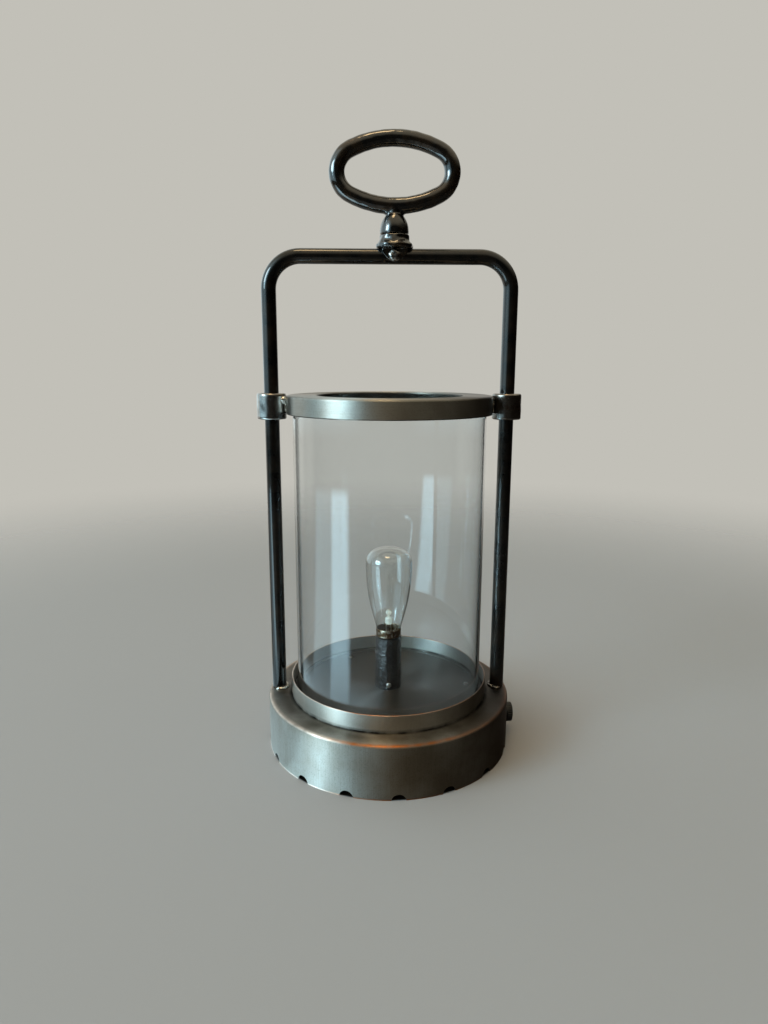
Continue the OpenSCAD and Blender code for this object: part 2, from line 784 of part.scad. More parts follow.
module bulb_bead() {
    edge = 1;
    color("#e6e6e0") translate([0, 0, bead_z]) rotate_extrude() polygon(concat(
        [[0, 0]],
        arc(bead_d / 2 - edge, edge, edge, -90, 0, 4),
        arc(bead_d / 2 - edge, bead_h - edge, edge, 0, 90, 4),
        [[0, bead_h]]
    ));
}

module bulb_lamp() {
    neck_z = bead_z + bead_h;
    color("#e8dca6") {
        translate([0, 0, neck_z]) cylinder(d = lamp_neck_d, h = lamp_rise + 1, $fn = 24);
        translate([0, 0, neck_z + lamp_rise + lamp_d / 2]) sphere(d = lamp_d, $fn = 32);
    }
}

// ---- Switch and knob ----

module switch_body() {
    color("#2a2a2c") at_switch() difference() {
        union() {
            translate([0, 0, -switch_front - switch_h]) cylinder(d = switch_d, h = switch_h);
            translate([0, 0, -switch_front]) cylinder(d = bushing_d, h = switch_front + bushing_out);
        }
        translate([0, 0, -shaft_in]) cylinder(d = shaft_d + 2 * turn_gap, h = shaft_in + bushing_out + cut);
    }
}

module switch_nut() {
    color("#a8a8a4") at_switch() hex_nut(switch_nut_af, switch_nut_h, bushing_d + 2 * fit_gap);
}

module switch_terminals() {
    color("#c0b48a") rotate(knob_angle) for (side = [-1, 1])
        translate([terminal_x, side * terminal_y - terminal_t / 2, knob_z - terminal_w / 2])
            cube([terminal_len, terminal_t, terminal_w]);
}

module switch_shaft() {
    color("#b9b9b4") at_switch() translate([0, 0, -shaft_in + move_gap])
        cylinder(d = shaft_d, h = shaft_in - move_gap + knob_reach - knob_face - fit_gap);
}

module switch_knob() {
    grip_count = 24;
    color("#17161a") at_switch() difference() {
        rotate_extrude() polygon(concat(
            [[0, knob_gap], [knob_d / 2 - 0.4, knob_gap], [knob_d / 2, knob_gap + 0.4]],
            arc(knob_d / 2 - 1.4, knob_reach - 1.2, 1, 0, 90, 4),
            [[0, knob_reach - 0.2]]
        ));
        translate([0, 0, -cut]) cylinder(d = knob_recess_d, h = knob_recess_out + cut);
        translate([0, 0, -cut]) cylinder(d = shaft_d + 2 * fit_gap, h = knob_reach - knob_face + cut);
        around(grip_count, knob_d / 2 + 0.3, 0) translate([0, 0, knob_gap + 1.4])
            cylinder(r = 0.6, h = knob_reach, $fn = 16);
    }
}

// ---- Battery bay ----

// One sector of a ring, from radius r_in to r_out, over span degrees about the +X axis.
module ring_sector(r_in, r_out, h, span) {
    rotate(-span / 2) rotate_extrude(angle = span) translate([r_in, 0]) square([r_out - r_in, h]);
}

module bottom_plate() {
    color("#6f6a60") difference() {
        translate([0, 0, plate_z]) cylinder(r = plate_r, h = plate_wall);
        translate([0, 0, plate_z - cut]) {
            cylinder(d = cover_hole_d, h = plate_wall + 2 * cut);
            for (i = [0:tab_count - 1]) rotate(notch_turn + i * 360 / tab_count)
                ring_sector(cover_r - tab_in, cover_lip_r + 0.4, plate_wall + 2 * cut, tab_span + 3);
            around(standoff_count, standoff_at, standoff_start)
                cylinder(d = screw_d + 2 * fit_gap, h = plate_wall + 2 * cut);
        }
    }
}

module plate_standoffs() {
    color("#8c867a") around(standoff_count, standoff_at, standoff_start) translate([0, 0, plate_top_z]) difference() {
        cylinder(d = standoff_d, h = ceiling_z - plate_top_z);
        translate([0, 0, -cut]) cylinder(d = screw_d + 2 * fit_gap, h = screw_reach + 2 * cut);
    }
}

module plate_screws() {
    color("#a6a6a2") around(standoff_count, standoff_at, standoff_start) translate([0, 0, plate_z]) {
        cylinder(d = screw_d, h = plate_wall + screw_reach);
        rotate([180, 0, 0]) dome(screw_head_d, screw_head_h);
    }
}

module cell_places() {
    for (i = [0:cell_count - 1]) translate([(i - (cell_count - 1) / 2) * cell_pitch, 0, cell_z]) children();
}

module battery_tray() {
    color("#26262a") difference() {
        union() {
            translate([0, 0, plate_top_z]) tube(tray_r, tray_in_r, tray_top_z - plate_top_z);
            translate([0, 0, pocket_top_z]) cylinder(r = tray_r, h = tray_wall);
            translate([-pocket_w / 2 - tray_wall, -pocket_l / 2 - tray_wall, pocket_low_z])
                cube([pocket_w + 2 * tray_wall, pocket_l + 2 * tray_wall, pocket_top_z - pocket_low_z + 0.5]);
        }
        translate([-pocket_w / 2, -pocket_l / 2, pocket_low_z - cut])
            cube([pocket_w, pocket_l, pocket_top_z - pocket_low_z + cut]);
    }
}

module battery_cells() {
    color("#3a3f46") cell_places() translate([0, cell_back_y + cell_len, 0]) rotate([90, 0, 0]) {
        cylinder(d = cell_d, h = cell_len - cell_button_h);
        cylinder(d = cell_button_d, h = cell_len);
    }
}

// Conical springs, each a stack of turns that touch.
module battery_springs() {
    turn_h = spring_l / spring_turns;
    color("#c2c2bd") cell_places() translate([0, cell_back_y + cell_len + spring_l, 0]) rotate([90, 0, 0])
        for (i = [0:spring_turns - 1]) translate([0, 0, i * turn_h])
            tube(spring_r - spring_taper * i, spring_r - spring_taper * i - spring_wire_d, turn_h);
}

module battery_contacts() {
    color("#c2c2bd") for (y = [-pocket_l / 2, pocket_l / 2 - strip_t]) cell_places()
        translate([-strip_w / 2, y, -strip_w / 2]) cube([strip_w, strip_t, strip_w]);
}

module battery_cover() {
    color("#2b2b2f") difference() {
        union() {
            translate([0, 0, plate_z - cover_lip_h]) cylinder(r = cover_lip_r, h = cover_lip_h);
            translate([0, 0, plate_z - cut / 2]) cylinder(r = cover_r, h = tab_low_z - plate_z + cut / 2);
            translate([0, 0, tab_low_z]) for (i = [0:tab_count - 1]) rotate(i * 360 / tab_count)
                ring_sector(cover_r - tab_in, cover_lip_r, tab_h, tab_span);
        }
        translate([-coin_slot_l / 2, -coin_slot_w / 2, plate_z - cover_lip_h - cut])
            cube([coin_slot_l, coin_slot_w, coin_slot_h + cut]);
    }
}

// ---- Wires inside the base ----

module feed_wire() {
    color("#8c2f25") rotate(knob_angle) wire([
        [feed_x, terminal_y, tray_top_z], [feed_x, terminal_y, feed_z], [feed_drop_x, terminal_y, feed_z],
        [feed_drop_x, terminal_y, knob_z], [terminal_x, terminal_y, knob_z]
    ], wire_d);
}

module link_wire() {
    color("#8c2f25") rotate(knob_angle) wire([
        [terminal_x, -terminal_y, knob_z], [link_drop_x, -terminal_y, knob_z], [link_drop_x, -terminal_y, link_z],
        [wire_x, -terminal_y, link_z], [wire_x, 0, link_z], [wire_x, 0, shell_low_z]
    ], wire_d);
}

module return_wire() {
    color("#1c1c1c") rotate(knob_angle) wire([
        [return_x, 0, tray_top_z], [return_x, 0, return_z], [-wire_x, 0, return_z], [-wire_x, 0, shell_low_z]
    ], wire_d);
}

base_drum();
gallery_pan();
pan_rivets();
frame_tube();
foot_welds();
handle_boss();
boss_rivet();
lamp_nipple();
nipple_washer();
nipple_nuts();
socket_bracket();
socket_shell();
socket_screw_shell();
socket_contact();
socket_sleeve();
sleeve_screw();
switch_body();
switch_nut();
switch_terminals();
bottom_plate();
plate_standoffs();
plate_screws();
battery_tray();
battery_cells();
battery_springs();
battery_contacts();
feed_wire();
link_wire();
return_wire();
glass_chimney();
ring_band();
collar_left();
collar_right();
collar_welds();
ring_handle();
handle_clip();
bulb_envelope();
bulb_screw_cap();
bulb_insulator();
bulb_tip();
bulb_lead_wires();
bulb_bead();
bulb_lamp();
switch_shaft();
switch_knob();
battery_cover();
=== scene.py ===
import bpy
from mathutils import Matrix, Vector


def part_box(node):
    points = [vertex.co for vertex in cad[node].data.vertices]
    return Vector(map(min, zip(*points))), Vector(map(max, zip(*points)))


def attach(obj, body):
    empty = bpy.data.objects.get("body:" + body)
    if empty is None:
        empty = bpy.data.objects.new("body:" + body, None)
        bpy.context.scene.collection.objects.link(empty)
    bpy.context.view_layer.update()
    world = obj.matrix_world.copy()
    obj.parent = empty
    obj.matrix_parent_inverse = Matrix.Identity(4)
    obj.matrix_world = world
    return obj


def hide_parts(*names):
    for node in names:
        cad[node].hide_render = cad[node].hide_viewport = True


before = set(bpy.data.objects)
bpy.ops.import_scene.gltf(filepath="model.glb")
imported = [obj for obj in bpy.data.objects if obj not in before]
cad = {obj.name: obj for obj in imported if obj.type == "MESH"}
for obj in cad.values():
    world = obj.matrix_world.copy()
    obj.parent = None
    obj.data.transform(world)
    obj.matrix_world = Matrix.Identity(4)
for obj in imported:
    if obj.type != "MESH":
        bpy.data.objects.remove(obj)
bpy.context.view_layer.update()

from functools import partial
from math import acos, atan2, cos, hypot, pi, radians, sin, sqrt

import bmesh
import bpy
from mathutils import Matrix, Vector, noise

mm = 0.001  # the lengths below are in millimetres, and Blender works in metres
print("frame: %d CAD nodes" % len(cad))


# Helpers for meshes.
weldWithin = 0.005  # corners closer than this become one


def addObject(name, data):
    thing = bpy.data.objects.new(name, data)
    bpy.context.scene.collection.objects.link(thing)
    return thing


def placed(place, *turns):  # a matrix: the turns of (degrees, axis), the last one first, and then the shift
    matrix = Matrix.Translation(Vector(place) * mm)
    for degrees, axis in turns:
        matrix = matrix @ Matrix.Rotation(radians(degrees), 4, axis)
    return matrix


def shade(mesh, sharpAngle):
    mesh.shade_smooth()
    mesh.set_sharp_from_angle(angle=radians(sharpAngle))


def linkPiece(name, mesh, sharpAngle=35):  # welds the mesh, turns its faces outwards and shades it
    work = bmesh.new()
    work.from_mesh(mesh)
    bmesh.ops.remove_doubles(work, verts=work.verts, dist=weldWithin * mm)
    bmesh.ops.recalc_face_normals(work, faces=work.faces)
    work.to_mesh(mesh)
    work.free()
    shade(mesh, sharpAngle)
    return addObject(name, mesh)


# A skin over rings of points. closed joins the last ring to the first, and otherwise ends is how many of the
# two end rings get a flat face.
def lofted(name, rings, closed=False, ends=2, sharpAngle=35):
    count, steps = len(rings), len(rings[0])
    order = list(range(count)) + [0] * closed
    faces = [(a * steps + s, a * steps + (s + 1) % steps, b * steps + (s + 1) % steps, b * steps + s)
             for a, b in zip(order, order[1:]) for s in range(steps)]
    caps = [tuple(range(steps))[::-1], tuple(range((count - 1) * steps, count * steps))]
    mesh = bpy.data.meshes.new(name)
    points = [tuple(Vector(p) * mm) for ring in rings for p in ring]
    mesh.from_pydata(points, [], faces + caps[:0 if closed else ends])
    return linkPiece(name, mesh, sharpAngle)


def around(steps):  # so many angles, once round
    return [2 * pi * s / steps for s in range(steps)]


# An outline of (radius, height) turned about Z. reach(radius, height, angle) can give a point another radius.
def turned(name, outline, steps=128, closed=False, sharpAngle=35, reach=None, ends=0):
    rings = []
    for r, z in outline:
        spokes = [(a, reach(r, z, a) if reach else r) for a in around(steps)]
        rings.append([(out * cos(a), out * sin(a), z) for a, out in spokes])
    return lofted(name, rings, closed, ends, sharpAngle)


def arc(radius, height, middle, degrees):  # part of an ellipse, as an outline of (radius, height)
    return [(radius * cos(radians(a)), middle + height * sin(radians(a))) for a in degrees]


def softened(corners, closed=False, steps=4):  # corners of (radius, height, rounding)
    made = []
    for i, (r, z, size) in enumerate(corners):
        if not size or (not closed and i in (0, len(corners) - 1)):
            made.append((r, z))
            continue
        here = Vector((r, z))
        before, after = (Vector(corners[k % len(corners)][:2]) - here for k in (i - 1, i + 1))
        start = here + before.normalized() * min(size, before.length * 0.49)
        end = here + after.normalized() * min(size, after.length * 0.49)
        for s in range(steps + 1):
            t = s / steps
            made.append(tuple(start * (1 - t) ** 2 + here * 2 * t * (1 - t) + end * t * t))
    return made


def swept(name, path, radius, steps, closed=False):  # radius: a number, or a function from 0 to 1 along it
    path, side, rings = [Vector(p) for p in path], None, []
    count = len(path)
    for k, p in enumerate(path):
        ahead = path[(k + 1) % count] if closed or k < count - 1 else p
        behind = path[k - 1] if closed or k else p
        along = (ahead - behind).normalized()
        side = side or along.orthogonal()
        side = (side - along * along.dot(side)).normalized()
        up = along.cross(side)
        out = radius(k / count) if callable(radius) else radius
        rings.append([p + (side * cos(a) + up * sin(a)) * out for a in around(steps)])
    return lofted(name, rings, closed, sharpAngle=60)


def merged(name, parts):  # one mesh from several objects, used up
    work = bmesh.new()
    for part in parts:
        work.from_mesh(part.data)
        bpy.data.objects.remove(part)
    mesh = bpy.data.meshes.new(name)
    work.to_mesh(mesh)
    work.free()
    return mesh


def joined(name, parts, sharpAngle=35):
    return linkPiece(name, merged(name, parts), sharpAngle)


def moved(piece, place, *turns):
    piece.data.transform(placed(place, *turns))
    return piece


def withModifiers(piece):  # a new mesh, as the piece's modifiers leave it
    bpy.context.view_layer.update()
    return bpy.data.meshes.new_from_object(piece.evaluated_get(bpy.context.evaluated_depsgraph_get()))


def melted(name, parts, size):  # parts run together under one skin, as in a weld
    piece = joined(name, parts)
    skin = piece.modifiers.new("skin", "REMESH")
    skin.mode, skin.voxel_size = "VOXEL", size["voxel"] * mm
    flow = piece.modifiers.new("flow", "SMOOTH")
    flow.factor, flow.iterations = 0.5, size["smoothing"]
    mesh = withModifiers(piece)
    bpy.data.objects.remove(piece)
    return linkPiece(name, mesh, 60)


def cutWith(piece, cutters):  # takes the cutters' space out of a piece
    for cutter in cutters:
        cut = piece.modifiers.new("cut", "BOOLEAN")
        cut.operation, cut.object, cut.solver = "DIFFERENCE", cutter, "EXACT"
    mesh = withModifiers(piece)
    piece.modifiers.clear()
    piece.data = mesh
    shade(mesh, 35)
    for cutter in cutters:
        bpy.data.objects.remove(cutter)


def block(width, depth, low, high):  # only to cut with
    x, y = width / 2, depth / 2
    return lofted("block", [[(-x, -y, z), (x, -y, z), (x, y, z), (-x, y, z)] for z in (low, high)])


def onCircle(radius, degrees):  # a place on a circle about the lamp's axis
    return radius * cos(radians(degrees)), radius * sin(radians(degrees)), 0


def uneven(piece, size, height, seed=0):  # moves the skin by bumps of that size and height
    moves = [v.normal * height * mm * noise.noise(v.co / (size * mm) + Vector((seed * 7.3, seed * 3.1, 0)))
             for v in piece.data.vertices]
    for v, move in zip(piece.data.vertices, moves):
        v.co += move


def coat(thing, material):
    thing.data.materials.clear()
    thing.data.materials.append(material)


def fitPiece(piece, body, nodes, material):  # rides on a body in place of CAD nodes
    coat(piece, material)
    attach(piece, body)
    if nodes:
        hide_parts(*nodes)


# Camera: the height, tilt and lens of a phone held at arm's length.
camera = {"place": (-16.878, -587.236, 324.616), "turn": 1.225, "tilt": 11.708, "roll": 0.175, "lens": 24.882,
          "nearest": 10}

eye = addObject("camera", bpy.data.cameras.new("camera"))
eye.data.lens = camera["lens"]
eye.data.clip_start = camera["nearest"] * mm
eye.matrix_world = placed(camera["place"], (-camera["turn"], "Z"), (90 - camera["tilt"], "X"),
                          (camera["roll"], "Z"))
bpy.context.scene.camera = eye
bpy.context.scene.view_settings.view_transform = "Standard"
print("camera: set")


# Helpers for materials.
def linear(hexColour):
    parts = [int(hexColour[i:i + 2], 16) / 255 for i in (1, 3, 5)]
    return tuple(c / 12.92 if c <= 0.04045 else ((c + 0.055) / 1.055) ** 2.4 for c in parts) + (1,)


def addNode(tree, kind, inputs=None, **settings):  # an input is a value, a hex colour, an output or a node
    node = tree.nodes.new("ShaderNode" + kind)
    for name, value in settings.items():
        setattr(node, name, value)
    for name, value in (inputs or {}).items():
        if isinstance(value, bpy.types.Node):
            value = next(output for output in value.outputs if output.enabled)
        if isinstance(value, bpy.types.NodeSocket):
            tree.links.new(value, node.inputs[name])
        else:
            node.inputs[name].default_value = linear(value) if isinstance(value, str) else value
    return node


def emptied(holder):  # empties a material or a world, and returns what adds nodes to it
    holder.use_nodes = True
    holder.node_tree.nodes.clear()
    return partial(addNode, holder.node_tree)


def startFinish(name):  # an empty material, what adds nodes to it, and the place on the object
    material = bpy.data.materials.new(name)
    add = emptied(material)
    return material, add, add("TexCoord").outputs["Object"]


def fromAxis(add, place):  # a place's axes, its plan, and its distance from the lamp's axis
    axes = add("SeparateXYZ", {"Vector": place})
    plan = add("CombineXYZ", {"X": axes.outputs["X"], "Y": axes.outputs["Y"]})
    return axes, plan, add("VectorMath", {0: plan}, operation="LENGTH")


def perMm(size):  # the noise scale for features of that size
    return 1 / (size * mm)


# Aged pewter: spun steel sheet, plated, darkened in an acid bath and sealed with a satin lacquer. It gives a
# grey-brown satin with fine tool lines, copper where the rims are rubbed through, and dark dirt in the
# corners. One side was held longer in the flame, and the scorch's edge wanders.
pewter = {
    "pale": "#adaba5", "brown": "#8e867a", "speck": "#4a443b", "bleached": "#fffdf6", "dirt": "#14110e",
    "copper": "#b56f3d", "bright": "#ead8ca", "handledSpan": (-10, -35),
    "scorched": "#36220f", "scorchSpan": (25, 100), "scorch": 0.93, "wander": 40, "stain": 0.85,
    "cloudSize": 38, "speckSize": 1.1, "lineWidth": 0.35, "lineLength": 30,
    "roughness": 0.44, "dirtRoughness": 0.7,
}


# rubbed, dirty and stained are circles of (radius, height, reach). within is (radius, height, tone): the
# faces inside and below those were blackened but never buffed.
def agedPewter(name, lineRun, rubbed=(), dirty=(), stained=(), within=None, paler=0):
    material, add, place = startFinish(name)
    across, along = perMm(pewter["lineWidth"]), perMm(pewter["lineLength"])
    stretch = (across, across, along) if lineRun == "upright" else (along, along, across)
    cloud = add("TexNoise", {"Vector": place, "Scale": perMm(pewter["cloudSize"]), "Detail": 5})
    speck = add("TexNoise", {"Vector": place, "Scale": perMm(pewter["speckSize"]), "Detail": 4,
                             "Roughness": 0.7})
    run = add("Mapping", {"Vector": place, "Scale": stretch})
    lines = add("TexNoise", {"Vector": run, "Scale": 1, "Detail": 3, "Roughness": 0.65})
    axes, _, away = fromAxis(add, place)

    def nearCircles(circles, patchSize, steepness):  # 1 on the circles, 0 past their reach, in patches
        found = None
        for radius, height, reach in circles:
            outward = add("Math", {0: away, 1: radius * mm}, operation="SUBTRACT")
            upward = add("Math", {0: axes.outputs["Z"], 1: height * mm}, operation="SUBTRACT")
            upward = add("Math", {0: upward, 1: steepness}, operation="MULTIPLY")
            gap = add("CombineXYZ", {"X": outward, "Y": upward})
            gap = add("VectorMath", {0: gap}, operation="LENGTH")
            near = add("MapRange", {"Value": gap, "From Min": reach * mm, "From Max": 0.2 * mm},
                       interpolation_type="SMOOTHSTEP")
            found = add("Math", {0: found, 1: near}, operation="MAXIMUM") if found else near
        patch = add("TexNoise", {"Vector": place, "Scale": perMm(patchSize), "Detail": 3})
        patch = add("MapRange", {"Value": patch, "From Min": 0.3, "From Max": 0.62, "To Min": 0.35})
        return add("Math", {0: found, 1: patch}, operation="MULTIPLY")

    tone = add("MapRange", {"Value": cloud, "From Min": 0.35, "From Max": 0.68})
    dots = add("MapRange", {"Value": speck, "From Min": 0.52, "From Max": 0.75, "To Max": 0.5})
    streak = add("MapRange", {"Value": lines, "From Min": 0.3, "From Max": 0.7, "To Max": 0.22})
    wander = pewter["wander"] * mm
    shift = add("Math", {0: cloud, 1: wander, 2: axes.outputs["X"]}, operation="MULTIPLY_ADD")
    start, end = (x * mm + wander / 2 for x in pewter["scorchSpan"])
    scorch = add("MapRange", {"Value": shift, "From Min": start, "From Max": end, "To Max": pewter["scorch"]})
    layers = [(tone, pewter["brown"]), (dots, pewter["speck"]), (streak, pewter["speck"]),
              (paler, pewter["bleached"]), (scorch, pewter["scorched"])]  # each lies over the ones before it
    roughness = add("MapRange", {"Value": lines, "To Min": pewter["roughness"] - 0.08,
                                 "To Max": pewter["roughness"] + 0.1})
    if rubbed:
        start, end = (x * mm for x in pewter["handledSpan"])
        handled = add("MapRange", {"Value": shift, "From Min": start, "From Max": end})
        metal = add("Mix", {0: handled, 6: pewter["copper"], 7: pewter["bright"]}, data_type="RGBA")
        kept = add("MapRange", {"Value": scorch, "From Max": 0.7, "To Min": 1, "To Max": 0.25})
        bare = add("Math", {0: nearCircles(rubbed, 9, 2.5), 1: kept}, operation="MULTIPLY")
        layers.append((bare, metal))
    if stained:
        stain = add("Math", {0: nearCircles(stained, 20, 3), 1: pewter["stain"]}, operation="MULTIPLY")
        layers.append((stain, pewter["speck"]))
    if dirty:
        dirt = nearCircles(dirty, 14, 1)
        layers.append((dirt, pewter["dirt"]))
        roughness = add("Mix", {0: dirt, 2: roughness, 3: pewter["dirtRoughness"]}, data_type="FLOAT")
    if within:
        radius, height, unbuffed = within
        inside = add("Math", {0: away, 1: radius * mm}, operation="LESS_THAN")
        below = add("Math", {0: axes.outputs["Z"], 1: height * mm}, operation="LESS_THAN")
        layers.append((add("Math", {0: inside, 1: below}, operation="MULTIPLY"), unbuffed))
    colour = pewter["pale"]
    for mask, over in layers:
        if mask:
            colour = add("Mix", {0: mask, 6: colour, 7: over}, data_type="RGBA")
    bump = add("Bump", {"Height": lines, "Strength": 0.25, "Distance": 0.03 * mm})
    bump = add("Bump", {"Height": speck, "Strength": 0.2, "Distance": 0.05 * mm, "Normal": bump})
    shader = add("BsdfPrincipled", {
        "Base Color": colour, "Metallic": 1, "Roughness": roughness, "Normal": bump, "Anisotropic": 0.88,
        "Anisotropic Rotation": 0.25, "Tangent": add("Tangent", direction_type="RADIAL", axis="Z")})
    add("OutputMaterial", {"Surface": shader})
    return material


# Oil-rubbed bronze: steel tube and castings, blackened, oiled and buffed by hand. It gives near-black metal
# with a soft gloss, a brown cast where the black is thin, and small pits from the casting.
def oilRubbedBronze(name, black, brown, bumpSize, bumpHeight, roughness, bare=0.6, polish=1.5, haze=0.035):
    material, add, place = startFinish(name)
    cloud = add("TexNoise", {"Vector": place, "Scale": perMm(16), "Detail": 5, "Roughness": 0.6})
    pits = add("TexNoise", {"Vector": place, "Scale": perMm(bumpSize), "Detail": 4, "Roughness": 0.6})
    tone = add("MapRange", {"Value": cloud, "From Min": 0.42, "From Max": 0.72})
    colour = add("Mix", {0: tone, 6: black, 7: brown}, data_type="RGBA")
    rough = add("MapRange", {"Value": cloud, "From Min": 0.3, "From Max": 0.7, "To Min": roughness - 0.06,
                             "To Max": roughness + 0.1})
    bump = add("Bump", {"Height": pits, "Strength": 0.5, "Distance": bumpHeight * mm})
    shader = add("BsdfPrincipled", {
        "Base Color": colour, "Metallic": bare, "Roughness": rough, "Normal": bump, "Coat Normal": bump,
        "Specular IOR Level": 0.25, "Coat Weight": 1, "Coat Roughness": haze, "Coat IOR": polish})
    add("OutputMaterial", {"Surface": shader})
    return material


bronzeTube = oilRubbedBronze("oilRubbedBronzeTube", "#0f0f0e", "#2a2018", 2.2, 0.02, 0.3)
buffedCollar = oilRubbedBronze("buffedCollarSteel", "#a9a7a3", "#5d4a3a", 1.9, 0.06, 0.2, bare=1)
bronzeCasting = oilRubbedBronze("oilRubbedBronzeCasting", "#121110", "#3d2b19", 1.9, 0.09, 0.22, polish=1.75,
                                haze=0.09)


# Bare steel: zinc-plated or as welded. It gives a bright grey with fine grain, and dull blooms of oxide.
def bareSteel(name, pale, dull, roughness, grainSize):
    material, add, place = startFinish(name)
    bloom = add("TexNoise", {"Vector": place, "Scale": perMm(4), "Detail": 4})
    grain = add("TexNoise", {"Vector": place, "Scale": perMm(grainSize), "Detail": 3})
    tone = add("MapRange", {"Value": bloom, "From Min": 0.4, "From Max": 0.7})
    colour = add("Mix", {0: tone, 6: pale, 7: dull}, data_type="RGBA")
    rough = add("MapRange", {"Value": bloom, "To Min": roughness - 0.1, "To Max": roughness + 0.15})
    bump = add("Bump", {"Height": grain, "Strength": 0.3, "Distance": 0.04 * mm})
    shader = add("BsdfPrincipled", {"Base Color": colour, "Metallic": 1, "Roughness": rough, "Normal": bump})
    add("OutputMaterial", {"Surface": shader})
    return material


weldSteel = bareSteel("asWeldedSteel", "#e0dcd4", "#9d9488", 0.24, 0.5)
sootedWeld = bareSteel("sootedWeldSteel", "#8d8a86", "#3a342e", 0.26, 0.6)
zincSteel = bareSteel("zincPlatedSteel", "#d3d3cf", "#a3a39c", 0.28, 0.3)
springSteel = bareSteel("nickelPlatedSteel", "#d9d6cf", "#b5b0a6", 0.22, 0.3)
tinnedWire = bareSteel("tinnedCopperWire", "#f2ebde", "#c9b497", 0.3, 0.4)
print("materials: metals of the frame")


# Brass: stamped or turned. It gives a warm yellow, browned where the lacquer has gone, with darker specks.
def agedBrass(name, bright, brown, tarnish, speckSize=0.7):
    material, add, place = startFinish(name)
    bloom = add("TexNoise", {"Vector": place, "Scale": perMm(3.2), "Detail": 4, "Roughness": 0.6})
    speck = add("TexVoronoi", {"Vector": place, "Scale": perMm(speckSize)})
    tone = add("MapRange", {"Value": bloom, "From Min": 0.6 - tarnish, "From Max": 0.85 - tarnish})
    dots = add("MapRange", {"Value": speck, "From Min": 0.42, "From Max": 0.1, "To Max": tarnish * 1.6})
    colour = add("Mix", {0: tone, 6: bright, 7: brown}, data_type="RGBA")
    colour = add("Mix", {0: dots, 6: colour, 7: "#2a1c10"}, data_type="RGBA")
    rough = add("MapRange", {"Value": bloom, "To Min": 0.2, "To Max": 0.5})
    bump = add("Bump", {"Height": bloom, "Strength": 0.4, "Distance": 0.1 * mm})
    shader = add("BsdfPrincipled", {"Base Color": colour, "Metallic": 1, "Roughness": rough, "Normal": bump})
    add("OutputMaterial", {"Surface": shader})
    return material


plainBrass = agedBrass("turnedBrass", "#d9b463", "#94703a", 0.12)
spottedBrass = agedBrass("tarnishedTinnedBrass", "#e6dcc8", "#5e4226", 0.33, 1.3)


# Soda-lime and lamp glass, blown and cut. It is clear with a faint green, and its surface is smooth but has
# slow waves. Light that only casts a shadow passes it, as the fine light that glass focuses can't be sampled.
def clearGlass(name, tint, ior, waveSize, waveHeight, clear=1):
    material, add, place = startFinish(name)
    wave = add("TexNoise", {"Vector": place, "Scale": perMm(waveSize), "Detail": 1})
    bump = add("Bump", {"Height": wave, "Strength": 0.3, "Distance": waveHeight * mm})
    film = add("TexNoise", {"Vector": place, "Scale": perMm(18), "Detail": 4})
    rough = add("MapRange", {"Value": film, "From Min": 0.4, "From Max": 0.8, "To Max": 0.03})
    shader = add("BsdfPrincipled", {"Base Color": tint, "Roughness": rough, "IOR": ior,
                                    "Transmission Weight": clear, "Normal": bump})
    shadow = add("LightPath").outputs["Is Shadow Ray"]
    either = add("MixShader", {0: shadow, 1: shader, 2: add("BsdfTransparent", {"Color": tint})})
    add("OutputMaterial", {"Surface": either})
    return material


sodaGlass = clearGlass("sodaLimeGlass", "#f8fbfc", 1.52, 60, 0.1)
lampGlass = clearGlass("lampGlass", "#fdfefd", 1.62, 14, 0.12)
beadGlass = clearGlass("pressedGlassBead", "#fbfaf4", 1.5, 2.5, 0.2, clear=0.55)
clearEpoxy = clearGlass("clearEpoxy", "#fbf8f0", 1.54, 2.2, 0.25, clear=0.7)


# Plastics and paint: ABS moulded with a spark-eroded grain, phenolic resin, extruded PVC and shrink film, and
# powder coat. They give an even colour with a fine grain in its gloss; the waxed sleeve has a wrinkled shine.
def mouldedPlastic(name, colour, dark, roughness, grainSize, grainHeight, wax=0):
    material, add, place = startFinish(name)
    cloud = add("TexNoise", {"Vector": place, "Scale": perMm(9), "Detail": 3})
    grain = add("TexNoise", {"Vector": place, "Scale": perMm(grainSize), "Detail": 3, "Roughness": 0.6})
    tone = add("Mix", {0: cloud, 6: colour, 7: dark}, data_type="RGBA")
    rough = add("MapRange", {"Value": grain, "To Min": roughness - 0.08, "To Max": roughness + 0.12})
    bump = add("Bump", {"Height": grain, "Strength": 0.4, "Distance": grainHeight * mm})
    finish = {"Base Color": tone, "Roughness": rough, "Normal": bump, "Coat Weight": wax,
              "Coat Roughness": 0.1, "Coat IOR": 1.8}
    shader = add("BsdfPrincipled", {**finish, "Coat Normal": bump} if wax else finish)
    add("OutputMaterial", {"Surface": shader})
    return material


grainedAbs = mouldedPlastic("grainedAbs", "#0f1011", "#151516", 0.42, 0.45, 0.05)
phenolic = mouldedPlastic("phenolicResin", "#151313", "#241c19", 0.3, 1.2, 0.03)
shrinkSleeve = mouldedPlastic("waxedShrinkSleeve", "#050506", "#0c0d0f", 0.3, 2.2, 3.4, wax=1)
redPvc = mouldedPlastic("redPvcSheath", "#a5281c", "#8c1f16", 0.3, 0.6, 0.02)
blackPvc = mouldedPlastic("blackPvcSheath", "#18181a", "#242426", 0.3, 0.6, 0.02)
platePaint = mouldedPlastic("powderCoat", "#3a362f", "#2c2925", 0.5, 0.8, 0.08)
lineInk = mouldedPlastic("padPrintedInk", "#d8d6cf", "#c6c3ba", 0.45, 0.3, 0.01)


